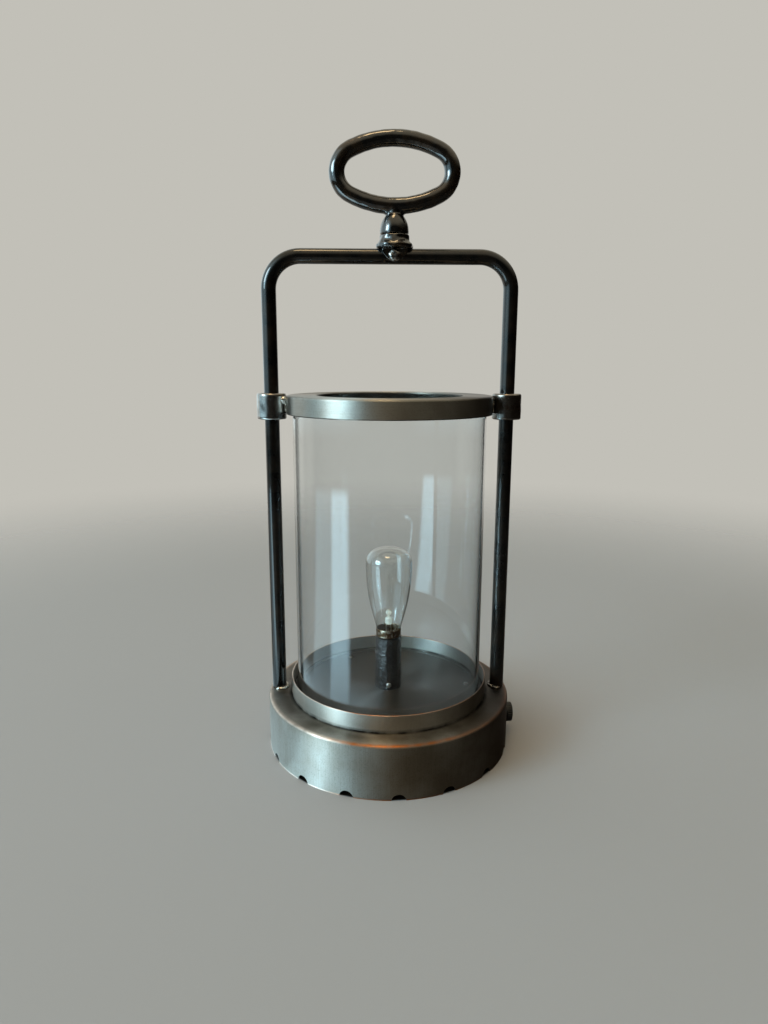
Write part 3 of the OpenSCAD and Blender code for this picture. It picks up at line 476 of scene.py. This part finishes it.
# Cell jacket: printed shrink film over a steel can, so dark with a pale band at the button end and bare ends.
jacket = {"film": "#20242b", "band": "#9fa3a3", "steel": "#c9c9c4", "buttonEnd": -26.9, "bandEnd": -15,
          "canEnd": 22.4}


def cellJacket(name, look):
    material, add, place = startFinish(name)
    along = add("SeparateXYZ", {"Vector": place}).outputs["Y"]
    cloud = add("TexNoise", {"Vector": place, "Scale": perMm(1.5), "Detail": 3})
    band = add("Math", {0: along, 1: look["bandEnd"] * mm}, operation="LESS_THAN")
    nearButton = add("Math", {0: along, 1: look["buttonEnd"] * mm}, operation="LESS_THAN")
    nearCan = add("Math", {0: along, 1: look["canEnd"] * mm}, operation="GREATER_THAN")
    steel = add("Math", {0: nearButton, 1: nearCan}, operation="MAXIMUM")
    colour = add("Mix", {0: band, 6: look["film"], 7: look["band"]}, data_type="RGBA")
    colour = add("Mix", {0: steel, 6: colour, 7: look["steel"]}, data_type="RGBA")
    rough = add("MapRange", {"Value": cloud, "To Min": 0.22, "To Max": 0.4})
    bump = add("Bump", {"Height": cloud, "Strength": 0.3, "Distance": 0.02 * mm})
    shader = add("BsdfPrincipled", {"Base Color": colour, "Metallic": steel, "Roughness": rough,
                                    "Normal": bump})
    add("OutputMaterial", {"Surface": shader})
    return material


cellFilm = cellJacket("cellShrinkFilm", jacket)
print("materials: brass, glass and plastics")


# Studio: a pale floor that fades into the background, a window at the left that also glares on the floor
# beside the metal, a warm ceiling lamp, and a softbox. A light or a glare is (aim, start, end, strength): it
# rises from start to end as a direction nears the aim, where 1 is straight at it. Spans are distances from
# the lamp's axis; dimSpan is along X, and sill is a direction's height.
studio = {
    "floor": "#a1a1a4", "gloom": "#1f1912", "floorReach": (500, 1500), "underBase": (104.7, 103.2),
    "dimSpan": (-90, 10), "dim": (0.3, 0.9),
    "glareApex": (40, -15), "wide": ((-0.956, -0.292, 0), 0.905, 0.94, 0.9), "wideSpan": (1450, 1300),
    "core": ((-0.88, -0.475, 0), 0.972, 0.993, 4.2), "coreSpan": (200, 320), "coreStart": 0.5,
    "around": ((-0.92, -0.39, 0), 0.35, 0.88, 0.95), "aroundSpan": (260, 200),
    "room": "#2b2925", "dimRoom": ("#16120e", (1, 0, 0), 0, 0.7), "ceiling": ("#cfc6ae", (0, 0, 1), 0.3, 0.8),
    "wall": ("#c2c0b8", (-0.35, 0.94, 0), 0.42, 0.64),
    "daylight": "#b9e0f0", "window": ((-0.94, -0.34, 0.2), 0.68, 0.94, 1.5), "sill": (-0.1, -0.045),
    "backWindow": ((-0.85, 0.53, 0), 0.6, 0.95, 0.85), "pane": ((-0.82, -0.46, 0.34), 0.968, 0.977, 13),
    "lamplight": "#ffdca6", "ceilingLamp": ((-0.09, -0.13, 0.98), 0.985, 0.995, 8.8),
    "softbox": {"place": (-1700, -640, 1150), "aim": (0, 0, 200), "size": 620, "power": 8,
                "colour": "#eef6f8"},
}


def towards(add, direction, aim, start, end, most=1):  # rises to most as a direction nears the one aimed at
    near = add("VectorMath", {0: direction, 1: Vector(aim).normalized()}, operation="DOT_PRODUCT")
    return add("MapRange", {"Value": near, "From Min": start, "From Max": end, "To Max": most},
               interpolation_type="SMOOTHSTEP")


def buildFloor(look):
    material, add, place = startFinish("paintedFloor")
    axes, plan, away = fromAxis(add, place)
    near, far = look["floorReach"]
    fade = add("MapRange", {"Value": away, "From Min": near * mm, "From Max": far * mm},
               interpolation_type="SMOOTHSTEP")
    ramp = {}
    for name, value, low, high in (
            ("dimSpan", axes.outputs["X"], *look["dim"]), ("underBase", away, 0, 1), ("wideSpan", away, 0, 1),
            ("coreSpan", away, look["coreStart"], 1), ("aroundSpan", away, 0, 1)):
        start, end = look[name]
        ramp[name] = add("MapRange", {"Value": value, "From Min": start * mm, "From Max": end * mm,
                                      "To Min": low, "To Max": high})
    depth = add("LightPath").outputs["Glossy Depth"]
    mirrored = add("Math", {0: depth, 1: 0.5}, operation="GREATER_THAN")
    dim = add("Math", {0: mirrored, 1: ramp["dimSpan"]}, operation="MULTIPLY")
    dim = add("Math", {0: dim, 1: ramp["underBase"]}, operation="MAXIMUM")  # it's dark under the base
    colour = add("Mix", {0: dim, 6: look["floor"], 7: look["gloom"]}, data_type="RGBA")
    shader = add("BsdfPrincipled", {"Base Color": colour, "Roughness": 0.6, "Specular IOR Level": 0.1})
    fromApex = add("VectorMath", {0: plan, 1: Vector((*look["glareApex"], 0)) * mm}, operation="SUBTRACT")
    fromApex = add("VectorMath", {0: fromApex}, operation="NORMALIZE")
    outward = add("VectorMath", {0: plan}, operation="NORMALIZE")
    core = towards(add, fromApex, *look["core"])
    core = add("Math", {0: core, 1: ramp["coreSpan"]}, operation="MULTIPLY")
    wide = towards(add, fromApex, *look["wide"])
    wide = add("Math", {0: wide, 1: core}, operation="MAXIMUM")
    wide = add("Math", {0: wide, 1: ramp["wideSpan"]}, operation="MULTIPLY")
    around = towards(add, outward, *look["around"])
    around = add("Math", {0: around, 1: ramp["aroundSpan"]}, operation="MULTIPLY")
    glare = add("Math", {0: wide, 1: around}, operation="MAXIMUM")
    beyond = add("Math", {0: 1, 1: ramp["underBase"]}, operation="SUBTRACT")
    seen = add("Math", {0: mirrored, 1: beyond}, operation="MULTIPLY")
    glare = add("Math", {0: seen, 1: glare}, operation="MULTIPLY")
    glow = add("Emission", {"Color": look["daylight"], "Strength": glare})
    back = add("NewGeometry").outputs["Backfacing"]  # from below, the floor lets the underside be seen
    opened = add("Math", {0: fade, 1: back}, operation="MAXIMUM")
    both = add("MixShader", {0: opened, 1: shader, 2: add("BsdfTransparent")})
    add("OutputMaterial", {"Surface": add("AddShader", {0: both, 1: glow})})
    floor = turned("floor", [(0, 0), (far + 100, 0)], steps=96)
    floor.data.flip_normals()
    coat(floor, material)


def buildLight(look):
    world = bpy.data.worlds.new("studio")
    bpy.context.scene.world = world
    add = emptied(world)
    direction = add("TexCoord").outputs["Generated"]
    light = add("LightPath")  # what the eye sees directly, or through glass, is the plain wall
    bounces = add("Math", {0: light.outputs["Glossy Depth"], 1: light.outputs["Diffuse Depth"]})
    direct = add("Math", {0: bounces, 1: 0.5}, operation="LESS_THAN")
    seen = add("Math", {0: light.outputs["Is Transmission Ray"], 1: direct}, operation="MULTIPLY")
    seen = add("Math", {0: light.outputs["Is Camera Ray"], 1: seen}, operation="MAXIMUM")
    colour = look["room"]
    for name in ("dimRoom", "ceiling", "wall"):
        tone, *aim = look[name]
        share = towards(add, direction, *aim)
        if name == "wall":
            share = add("Math", {0: share, 1: seen}, operation="MAXIMUM")
        colour = add("Mix", {0: share, 6: colour, 7: tone}, data_type="RGBA")
    glow = towards(add, direction, *look["window"])
    for name in ("backWindow", "pane"):
        glow = add("Math", {0: glow, 1: towards(add, direction, *look[name])}, operation="MAXIMUM")
    height = add("SeparateXYZ", {"Vector": direction}).outputs["Z"]
    start, end = look["sill"]
    above = add("MapRange", {"Value": height, "From Min": start, "From Max": end})
    glow = add("Math", {0: glow, 1: above}, operation="MULTIPLY")
    glow = add("Mix", {0: seen, 2: glow, 3: 0}, data_type="FLOAT")
    lamp = towards(add, direction, *look["ceilingLamp"])
    shine = add("Background", {"Color": look["lamplight"], "Strength": lamp})
    for tint, strength in ((look["daylight"], glow), (colour, 1)):
        more = add("Background", {"Color": tint, "Strength": strength})
        shine = add("AddShader", {0: more, 1: shine})
    add("OutputWorld", {"Surface": shine})
    softbox = look["softbox"]
    lamp = bpy.data.lights.new("softbox", "AREA")
    lamp.energy, lamp.color, lamp.size = softbox["power"], linear(softbox["colour"])[:3], softbox["size"] * mm
    holder = addObject("softbox", lamp)
    place, aim = Vector(softbox["place"]) * mm, Vector(softbox["aim"]) * mm
    holder.location = place
    holder.rotation_euler = (aim - place).to_track_quat("-Z", "Y").to_euler()


buildFloor(studio)
buildLight(studio)
print("studio: floor and light")


# Sheet-metal bodies: the CAD shapes stay, and their rims are rubbed to copper.
sheet = {"drumRadius": 104.75, "drumTop": 45, "panRadius": 85.05, "panTop": 59.7, "panFloor": 46.2,
         "ringRadius": 84.1, "ringTop": 300.8, "ringLow": 286.1}


def dressSheets(size):
    drum, drumTop, pan, panFloor = (size[k] for k in ("drumRadius", "drumTop", "panRadius", "panFloor"))
    drumPewter = agedPewter(
        "agedPewterDrum", "upright", rubbed=[(drum - 1, drumTop - 0.2, 4), (drum, 0.2, 3.2)],
        dirty=[(pan, drumTop, 3.5)], stained=[(pan + 6, drumTop, 17)])
    panPewter = agedPewter(
        "agedPewterPan", "upright", rubbed=[(pan - 0.6, size["panTop"], 1.4)], paler=0.2,
        dirty=[(pan, drumTop, 2.2), (pan - 1.2, panFloor, 2.5)],
        within=(pan - 2.5, panFloor + 0.3, "#4c4a47"))
    ringPewter = agedPewter(
        "agedPewterRing", "level", dirty=[(size["ringRadius"], size["ringLow"], 1)], paler=0.1,
        within=(size["ringRadius"] - 0.6, size["ringTop"] - 0.6, "#6e6a63"))
    for node, material in (("base_drum", drumPewter), ("gallery_pan", panPewter), ("ring_band", ringPewter),
                           ("frame_tube", bronzeTube)):
        coat(cad[node], material)


dressSheets(sheet)


# Rivets of the pan: hammered domes.
panRivet = {"circle": 70, "low": 42.8, "head": 2.6, "washer": 1, "high": 1, "shank": 1.5,
            "bumps": (1.4, 0.12)}


def buildPanRivets(size):
    low, head, shank, top = size["low"], size["head"], size["shank"], sheet["panFloor"]
    neck = low + size["washer"]
    outline = [(0, low), (head, low), (head, neck), (shank, neck), (shank, top)]
    outline += arc(head, size["high"], top, range(0, 91, 15))
    piece = joined("panRivets", [moved(turned("rivet", outline, steps=28), onCircle(size["circle"], turn))
                                 for turn in (0, 120, 240)])
    uneven(piece, *size["bumps"])
    fitPiece(piece, "lantern", ["pan_rivets"], bronzeCasting)


buildPanRivets(panRivet)
print("sheet metal: dressed")


# Weld beads: laid by hand, so each is a row of overlapping puddles.
footWeld = {"legAt": 96.5, "circle": 6.8, "bead": 1.35, "leftBead": 1.7, "low": 45.4, "span": 110,
            "puddles": 12, "bumps": (1.6, 0.5)}
collarWeld = {"at": 84.9, "seam": 3.4, "low": 287.4, "high": 299.4, "bead": 1.7, "puddles": 6, "inset": 0.35,
              "drop": (-86.6, -5.4, 297), "dropSize": 3.2, "voxel": 0.35, "smoothing": 3, "bumps": (2.2, 0.6)}


def buildFootWeld(name, side, size):
    radius, thick = size["circle"], size["bead" if side > 0 else "leftBead"]
    path = []
    for k in range(61):
        angle = radians((180 if side > 0 else 0) - size["span"] + 2 * size["span"] * k / 60)
        path.append((side * size["legAt"] + radius * cos(angle), radius * sin(angle), size["low"]))

    def bead(share):
        ends = min(1, 8 * share + 0.3, 8 * (1 - share) + 0.3)
        return thick * ends * (0.86 + 0.14 * abs(cos(share * pi * size["puddles"])))

    piece = swept(name, path, bead, 16)
    uneven(piece, *size["bumps"], seed=side + 2)
    fitPiece(piece, "lantern", ["foot_welds"], sootedWeld if side > 0 else weldSteel)


def buildCollarWeld(name, side, size):  # a seam down each side of the collar, and the metal between the seams
    blobs = []
    low, high = size["low"], size["high"]

    def bead(share):
        return size["bead"] * (0.85 + 0.15 * cos(2 * pi * share * size["puddles"]))

    for y in (-size["seam"], 0, size["seam"]):
        x = side * (size["at"] - size["inset"] * (y == 0))
        path = [(x, y, low + (high - low) * k / 40) for k in range(41)]
        blobs.append(swept("blob", path, bead, 16))
    if side < 0:  # the left seam was started with too much metal
        drop = arc(size["dropSize"], size["dropSize"], 0, range(-90, 91, 10))
        blobs.append(moved(turned("drop", drop, steps=28), size["drop"]))
    piece = melted(name, blobs, size)
    uneven(piece, *size["bumps"], seed=4)
    fitPiece(piece, "top_ring", ["collar_welds"], sootedWeld if side > 0 else weldSteel)


# Collars: cut from thick tube, their edges broken with a file.
collar = {"at": 96.5, "radius": 12, "bore": 6.3, "low": 281.2, "high": 302.4, "edge": 1.6, "topEdge": 2.2,
          "boreEdge": 0.5, "row": 1.2, "bumps": (7, 0.22)}


def buildCollar(name, side, size):
    outer, bore, low, high, edge = (size[k] for k in ("radius", "bore", "low", "high", "boreEdge"))
    outline = softened([(bore, low, edge), (outer, low, size["edge"]), (outer, high, size["topEdge"]),
                        (bore, high, edge)], closed=True, steps=6)
    rows = []  # short rows, so that the surface can wander
    for (r, z), (r2, z2) in zip(outline, outline[1:] + outline[:1]):
        count = max(1, round(hypot(r2 - r, z2 - z) / size["row"]))
        rows += [(r + (r2 - r) * k / count, z + (z2 - z) * k / count) for k in range(count)]
    piece = moved(turned(name, rows, steps=72, closed=True), (side * size["at"], 0, 0))
    uneven(piece, *size["bumps"], seed=side)
    fitPiece(piece, "top_ring", ["collar_right" if side > 0 else "collar_left"], buffedCollar)


for build, name, size in ((buildFootWeld, "footWeld", footWeld), (buildCollarWeld, "collarWeld", collarWeld),
                          (buildCollar, "collar", collar)):
    build(name + "Left", -1, size)
    build(name + "Right", 1, size)
print("welds and collars: laid")


# Ring handle: a forged oval whose foot flares out of the swivel's neck. A row of the flare is (height, half
# width, half depth).
handle = {
    "off": 3.2, "centre": 470.4, "endAt": 26.8, "endRadius": 18, "sideDrop": 53.85, "sideRadius": 78.15,
    "rod": 6.3, "bellLow": 424.8, "bell": 11.35, "band": 2.2, "neck": 6, "neckHigh": 439.8, "stem": 4,
    "stemLow": 415.1, "voxel": 0.5, "smoothing": 5, "waves": (26, 0.35), "bumps": (5, 0.16),
    "flare": [(434, 6.0, 6.0), (437.6, 6.2, 6.0), (439.4, 7.2, 5.9), (440.6, 9.2, 5.4), (441.6, 12.4, 4.6),
              (442.6, 16.5, 3.4)],
}


def ovalPath(size):
    end, endRadius, side, sideRadius = (size[k] for k in ("endAt", "endRadius", "sideDrop", "sideRadius"))
    split, path = atan2(side, end), []
    for turn, sign in ((0, 1), (pi, -1)):
        for x, z, r, low, high, count in ((sign * end, 0, endRadius, turn - split, turn + split, 24),
                                          (0, -sign * side, sideRadius, turn + split, turn + pi - split, 26)):
            for a in (low + (high - low) * k / count for k in range(count)):
                path.append((x + r * cos(a), 0, size["centre"] + z + r * sin(a)))
    return path


def buildHandle(size):
    loop = swept("loop", ovalPath(size), size["rod"], 28, closed=True)
    bell, low, stem, foot = (size[k] for k in ("bell", "bellLow", "stem", "stemLow"))
    neck, top, bandHigh = size["neck"], size["neckHigh"], low + size["band"]
    rise, drop = top - bandHigh, bell - neck
    curve = (drop * drop + rise * rise) / (2 * drop)
    turn = acos((curve - drop) / curve)
    outline = [(0, foot), (stem, foot), (stem, low), (bell - 0.6, low), (bell, low + 0.6)]
    for a in (turn * k / 12 for k in range(13)):
        outline.append((bell - curve + curve * cos(a), bandHigh + curve * sin(a)))
    body = turned("body", outline + [(neck, top + 4), (0, top + 4)], steps=72)
    flare = lofted("flare", [[(x * cos(a), y * sin(a), z) for a in around(40)] for z, x, y in size["flare"]])
    piece = moved(melted("ringHandle", [loop, body, flare], size), (size["off"], 0, 0))
    uneven(piece, *size["waves"], seed=3)
    uneven(piece, *size["bumps"], seed=5)
    fitPiece(piece, "handle", ["ring_handle"], bronzeCasting)


buildHandle(handle)


# Saddle boss: a rough casting, and the hammered rivet through it.
boss = {"voxel": 0.45, "smoothing": 4, "lumps": (5.5, 0.9), "rivet": 4.7, "rivetHigh": 2.4, "shank": 2,
        "bumps": (2.6, 0.4), "faceAt": 8.6, "rivetAt": (3.2, 0, 408.6)}


def buildBoss(size):
    casting = addObject("casting", cad["handle_boss"].data.copy())
    piece = melted("saddleBoss", [casting], size)
    uneven(piece, *size["lumps"], seed=2)
    fitPiece(piece, "lantern", ["handle_boss"], bronzeCasting)
    face, shank, end = size["faceAt"], size["shank"], size["faceAt"] + 0.2
    head = [(0, face)] + arc(size["rivet"], size["rivetHigh"], face, range(0, 91, 6))
    rod = [(0, -end), (shank, -end), (shank, end), (0, end)]
    parts = ((90, head, 40), (-90, head, 40), (90, rod, 32))
    rivet = joined("bossRivet", [moved(turned("part", outline, steps), size["rivetAt"], (turn, "X"))
                                 for turn, outline, steps in parts])
    uneven(rivet, *size["bumps"], seed=6)
    fitPiece(rivet, "lantern", ["boss_rivet"], buffedCollar)


buildBoss(boss)
coat(cad["handle_clip"], springSteel)
print("handle: forged")


# Glass chimney: drawn tube with fire-polished rims.
chimney = {"radius": 79.5, "wall": 2.2, "low": 46.2, "high": 299.6, "rim": 0.9}


def buildChimney(size):
    outer, inner = size["radius"], size["radius"] - size["wall"]
    low, high, rim = size["low"], size["high"], size["rim"]
    start, end = low + 1.5 * rim, high - 1.5 * rim  # rows that keep the long walls straight beside the rims
    corners = [(inner, low, rim), (outer, low, rim), (outer, start, 0), (outer, end, 0), (outer, high, rim),
               (inner, high, rim), (inner, end, 0), (inner, start, 0)]
    piece = turned("glassChimney", softened(corners, closed=True, steps=6), 240, closed=True, sharpAngle=60)
    fitPiece(piece, "glass", ["glass_chimney"], sodaGlass)


buildChimney(chimney)
print("chimney: polished")


# Bulb: a blown glass pear in a stamped brass cap, with a small lamp on two lead wires inside.
bulb = {
    "neck": 10.6, "low": 93.6, "rise": 100.2, "wide": 19.9, "crown": 29, "shoulder": 12, "top": 172.7,
    "wall": 0.7, "cap": 6.8, "capLow": 74.2, "skirt": 11.05, "skirtLow": 93.2, "skirtHigh": 100.2,
    "thread": 0.55, "pitch": 3, "capBumps": (1.8, 0.12), "insulatorLow": 72.0, "tip": 2.6, "tipHigh": 1.1,
    "tipBumps": (1.5, 0.15), "leadAt": 1.9, "lead": 0.3, "bead": 3.3, "beadLow": 103.1, "beadHigh": 109.6,
    "lamp": 2.6, "lampAt": 113.8,
}


def bulbOutline(size, inset):  # from the neck up to the crown
    neck, wide, shoulder, crown, rise = (size[k] for k in ("neck", "wide", "shoulder", "crown", "rise"))
    centre = size["top"] - crown
    reach, at = crown - shoulder, wide - shoulder
    wideAt = centre + sqrt(reach * reach - at * at)
    meet = acos(at / reach)
    outline = [(0, size["low"] + inset), (neck - inset - 0.8, size["low"] + inset)]
    for k in range(41):
        r = neck + (wide - neck) * (1 - cos(pi * (k / 40) ** 0.57)) / 2
        outline.append((r - inset, rise + (wideAt - rise) * k / 40))
    for x, z, radius, start, end, count in (
            (at, wideAt, shoulder, 0, meet, 12), (0, centre, crown, meet, pi / 2, 14)):
        turns = [start + (end - start) * k / count for k in range(1, count + 1)]
        outline += [(x + (radius - inset) * cos(a), z + (radius - inset) * sin(a)) for a in turns]
    return outline


def buildEnvelope(size):
    shells = [turned("shell", bulbOutline(size, inset), sharpAngle=60) for inset in (0, size["wall"])]
    shells[1].data.flip_normals()  # the inside of the glass
    mesh = merged("bulbEnvelope", shells)
    mesh.shade_smooth()
    fitPiece(addObject("bulbEnvelope", mesh), "bulb", ["bulb_envelope"], lampGlass)


def buildCap(size):
    skirt, low, high, inner, foot = (size[k] for k in ("skirt", "skirtLow", "skirtHigh", "cap", "capLow"))
    cup = [(0, low + 0.4, 0), (skirt - 0.55, low + 0.4, 0.3), (skirt - 0.55, high - 0.2, 0.2),
           (skirt - 0.25, high, 0.25), (skirt, high - 0.5, 0.3), (skirt - 0.25, low + 1.6, 0.6),
           (skirt, low + 0.4, 0.3), (skirt - 0.6, low, 0.3), (inner, low, 0)]
    cap = turned("cap", softened(cup), steps=96)
    rows = 60

    def thread(radius, z, angle):
        row = (z - foot) / (low - foot) * rows
        fade = min(1, row / 8, (rows - row) / 6)  # the thread runs out at both ends
        return radius - size["thread"] * (0.5 - 0.5 * cos(2 * pi * z / size["pitch"] - angle)) * fade

    screw = turned("screw", [(inner, foot + (low - foot) * k / rows) for k in range(rows + 1)], steps=48,
                   sharpAngle=50, reach=thread, ends=1)
    cap = joined("bulbCap", [cap, screw], 45)
    uneven(cap, *size["capBumps"], seed=8)
    fitPiece(cap, "bulb", ["bulb_screw_cap"], spottedBrass)
    base, contact = size["insulatorLow"], size["tip"]
    insulator = softened([(0, base, 0), (contact + 0.4, base, 0.4), (inner - 0.5, foot, 0.3), (0, foot, 0)])
    insulator = turned("bulbInsulator", insulator, steps=64)
    fitPiece(insulator, "bulb", ["bulb_insulator"], phenolic)
    dome = arc(contact, size["tipHigh"], base, range(-80, 1, 10))
    tip = turned("bulbTip", [(0, base - size["tipHigh"])] + dome + [(0, base)], steps=48)
    uneven(tip, *size["tipBumps"])
    fitPiece(tip, "bulb", ["bulb_tip"], zincSteel)


def buildLamp(size):
    low, high, wide = size["beadLow"], size["beadHigh"], size["bead"]
    leads = []
    for side in (-1, 1):
        path = []
        for k in range(25):
            t = k / 24
            lean = side * (size["leadAt"] + 0.5 * sin(pi * t) - 0.5 * t)
            z = size["low"] + 0.8 + (low + 1.5 - size["low"]) * t
            path.append((lean, 0.35 * sin(2 * pi * t + side), z))
        leads.append(swept("lead", path, size["lead"], 12))
    fitPiece(joined("bulbLeads", leads), "bulb", ["bulb_lead_wires"], tinnedWire)
    waist = (low + high) / 2
    bead = softened([(0, low, 0), (wide - 0.3, low, 1.4), (wide, waist - 0.6, 0.6), (wide - 0.35, waist, 0.5),
                     (wide - 0.1, waist + 0.6, 0.6), (wide - 0.5, high, 1.6), (0, high, 0)])
    bead = turned("bulbBead", bead, steps=56, sharpAngle=60)
    fitPiece(bead, "bulb", ["bulb_bead"], beadGlass)
    lamp = [(0, high - 0.2), (1.1, high - 0.2), (0.95, high + 1.2)]
    lamp += arc(size["lamp"], size["lamp"], size["lampAt"], range(-66, 91, 6))
    lamp = turned("bulbLamp", lamp, steps=56, sharpAngle=60)
    fitPiece(lamp, "bulb", ["bulb_lamp"], clearEpoxy)


buildEnvelope(bulb)
buildCap(bulb)
buildLamp(bulb)
print("bulb: blown")


# Socket sleeve: shrink tube over the socket, with a second layer that ends in a flap at the front.
sleeve = {"radius": 11.65, "wall": 1, "low": 46.2, "high": 92.7, "flapEdge": -95, "flapHigh": 78,
          "flapEnd": 250, "layer": 0.45, "wrinkle": 0.3, "rows": 72}


def buildSleeve(size):
    bore, low, high, rows = size["radius"] - size["wall"], size["low"], size["high"], size["rows"]

    def wrapped(radius, z, angle):
        if radius == bore:
            return radius
        x, y = cos(angle), sin(angle)
        past = (size["flapEdge"] - angle * 180 / pi) % 360  # degrees round from the flap's edge
        top = size["flapHigh"] - 2.2 * max(0, 1 - past / 16) ** 2 + 1.6 * sin(radians(past * 1.1))
        under = (min(1, max(0, (top - z) / 0.7)) * min(1, past / 2.5)
                 * min(1, max(0, (size["flapEnd"] - past) / 4)))
        under *= 1 + 0.8 * max(0, 1 - past / 9)  # the flap's edge curls up
        fold = noise.noise(Vector((x * 3.2, y * 3.2, z * 0.05)))
        crease = noise.noise(Vector((x * 1.5, y * 1.5, z * 0.22 + 9)))
        ends = min(1, (z - low) / 3, (high - z) / 3 + 0.1)
        return radius - 0.35 + size["layer"] * under + size["wrinkle"] * (fold + 0.8 * crease) * ends

    outline = [(size["radius"], low + (high - low) * k / rows) for k in range(rows + 1)]
    outline += [(bore, high), (bore, low)]
    piece = turned("socketSleeve", outline, steps=180, closed=True, sharpAngle=50, reach=wrapped)
    fitPiece(piece, "lantern", ["socket_sleeve"], shrinkSleeve)


buildSleeve(sleeve)


# The sleeve's slotted screw.
sleeveScrew = {"z": 50.7, "face": 11.65, "head": 2.3, "high": 1.3, "shank": 1.2, "tip": 9.55, "slot": 0.5,
               "turn": 70}


def buildSleeveScrew(size):
    face, head, shank, tip = (size[k] for k in ("face", "head", "shank", "tip"))
    outline = [(0, tip), (shank, tip), (shank, face), (head, face)]
    outline += arc(head, size["high"], face + 0.2, range(0, 91, 9))
    screw = turned("sleeveScrew", outline, steps=40)
    cutWith(screw, [block(9, size["slot"], face + 0.8, face + 3)])
    moved(screw, (0, 0, size["z"]), (90, "X"), (size["turn"], "Z"))
    fitPiece(screw, "lantern", ["sleeve_screw"], zincSteel)


buildSleeveScrew(sleeveScrew)
print("socket: sleeved")


# Knob: moulded with grips round it and a white pointer line on its face.
knob = {"place": (104.75, 0, 19), "radius": 8.5, "low": 0.6, "reach": 7, "grips": 24, "grip": 0.45,
        "hole": 2.05, "holeEnd": 5.45, "recess": 6.4, "recessEnd": 2.8, "line": (0.7, 4.6), "lineAt": 1.2,
        "lineHigh": 0.12}


def buildKnob(size):
    wide, low, high, hole, recess = (size[k] for k in ("radius", "low", "reach", "hole", "recess"))
    rows = softened([(0.3, size["holeEnd"], 0), (hole, size["holeEnd"], 0.1), (hole, size["recessEnd"], 0.1),
                     (recess, size["recessEnd"], 0.2), (recess, low, 0.4), (wide, low, 0.6),
                     (wide, low + 1.6, 0.3), (wide - 0.15, high - 0.9, 0.9), (wide - 2.6, high - 0.2, 0.5),
                     (wide - 3.2, high - 0.45, 0.4), (0.3, high - 0.45, 0)])

    def gripped(radius, z, angle):
        wall = radius > wide - 0.5 and low + 1.7 < z < high - 0.4
        return radius - (size["grip"] * max(0, cos(size["grips"] * angle)) ** 2 if wall else 0)

    body = turned("switchKnob", rows, steps=size["grips"] * 10, sharpAngle=40, reach=gripped, ends=2)
    across, long = size["line"]
    near, far = size["lineAt"], size["lineAt"] + long
    edge = softened([(-across / 2, near, 0.3), (across / 2, near, 0.3), (across / 2, far, 0.3),
                     (-across / 2, far, 0.3)], closed=True)
    lifts = (0, size["lineHigh"])
    line = lofted("knobPointer", [[(-y, x, high - 0.5 + lift) for x, y in edge] for lift in lifts])
    for piece, nodes, material in ((body, ["switch_knob"], grainedAbs), (line, [], lineInk)):
        fitPiece(moved(piece, size["place"], (90, "Y")), "knob", nodes, material)


buildKnob(knob)
coat(cad["switch_shaft"], zincSteel)
print("knob: moulded")


# Underside and battery bay: cross-headed screws and coil springs.
plateScrew = {"circle": 80, "start": 90, "head": 3.7, "headHigh": 2.2, "shank": 2, "slot": 0.9,
              "slotLength": 4.2, "slotDepth": 1.1, "wander": 22.9183}
spring = {"radius": 4.5, "taper": 1.4, "wire": 0.45, "turns": 5, "low": 22.75, "high": 27.75, "pitch": 14.8,
          "z": 15.05}


def buildPlateScrews(size):
    low, high = (corner.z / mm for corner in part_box("plate_screws"))
    head, neck, shank, slot, long = (size[k] for k in ("head", "headHigh", "shank", "slot", "slotLength"))
    outline = arc(head, neck, low + neck, range(-90, -4, 9))
    outline += [(head, low + neck), (shank, low + neck), (shank, high), (0, high)]
    screws = []
    for k in range(3):
        turn = size["start"] + 120 * k
        screw = turned("screw", outline, steps=40)
        cross = ((long, slot), (slot, long))
        cutWith(screw, [block(x, y, low - 1, low + size["slotDepth"]) for x, y in cross])
        screws.append(moved(screw, onCircle(size["circle"], turn), (turn + size["wander"] * k, "Z")))
    fitPiece(joined("plateScrews", screws), "lantern", ["plate_screws"], zincSteel)


def buildSprings(size):
    count, wire, travel = size["turns"] * 20, size["wire"], size["high"] - size["low"] - 2 * size["wire"]
    coils = []
    for at in (-1, 0, 1):
        path = []
        for k in range(count + 1):
            t = k / count
            r = size["radius"] - size["taper"] * t
            angle = 2 * pi * size["turns"] * t
            path.append((at * size["pitch"] + r * cos(angle), size["high"] - wire - travel * t,
                         size["z"] + r * sin(angle)))
        coils.append(swept("coil", path, wire, 10))
    fitPiece(joined("batterySprings", coils, 60), "lantern", ["battery_springs"], springSteel)


buildPlateScrews(plateScrew)
buildSprings(spring)
for material, *names in (
        (platePaint, "bottom_plate", "plate_standoffs"),
        (grainedAbs, "battery_tray", "battery_cover", "socket_shell", "switch_body"),
        (cellFilm, "battery_cells"),
        (zincSteel, "battery_contacts", "nipple_washer", "socket_bracket", "switch_nut"),
        (plainBrass, "lamp_nipple", "nipple_nuts", "socket_screw_shell", "socket_contact",
         "switch_terminals"),
        (redPvc, "feed_wire", "link_wire"), (blackPvc, "return_wire")):
    for name in names:
        coat(cad[name], material)
print("underside: dressed")
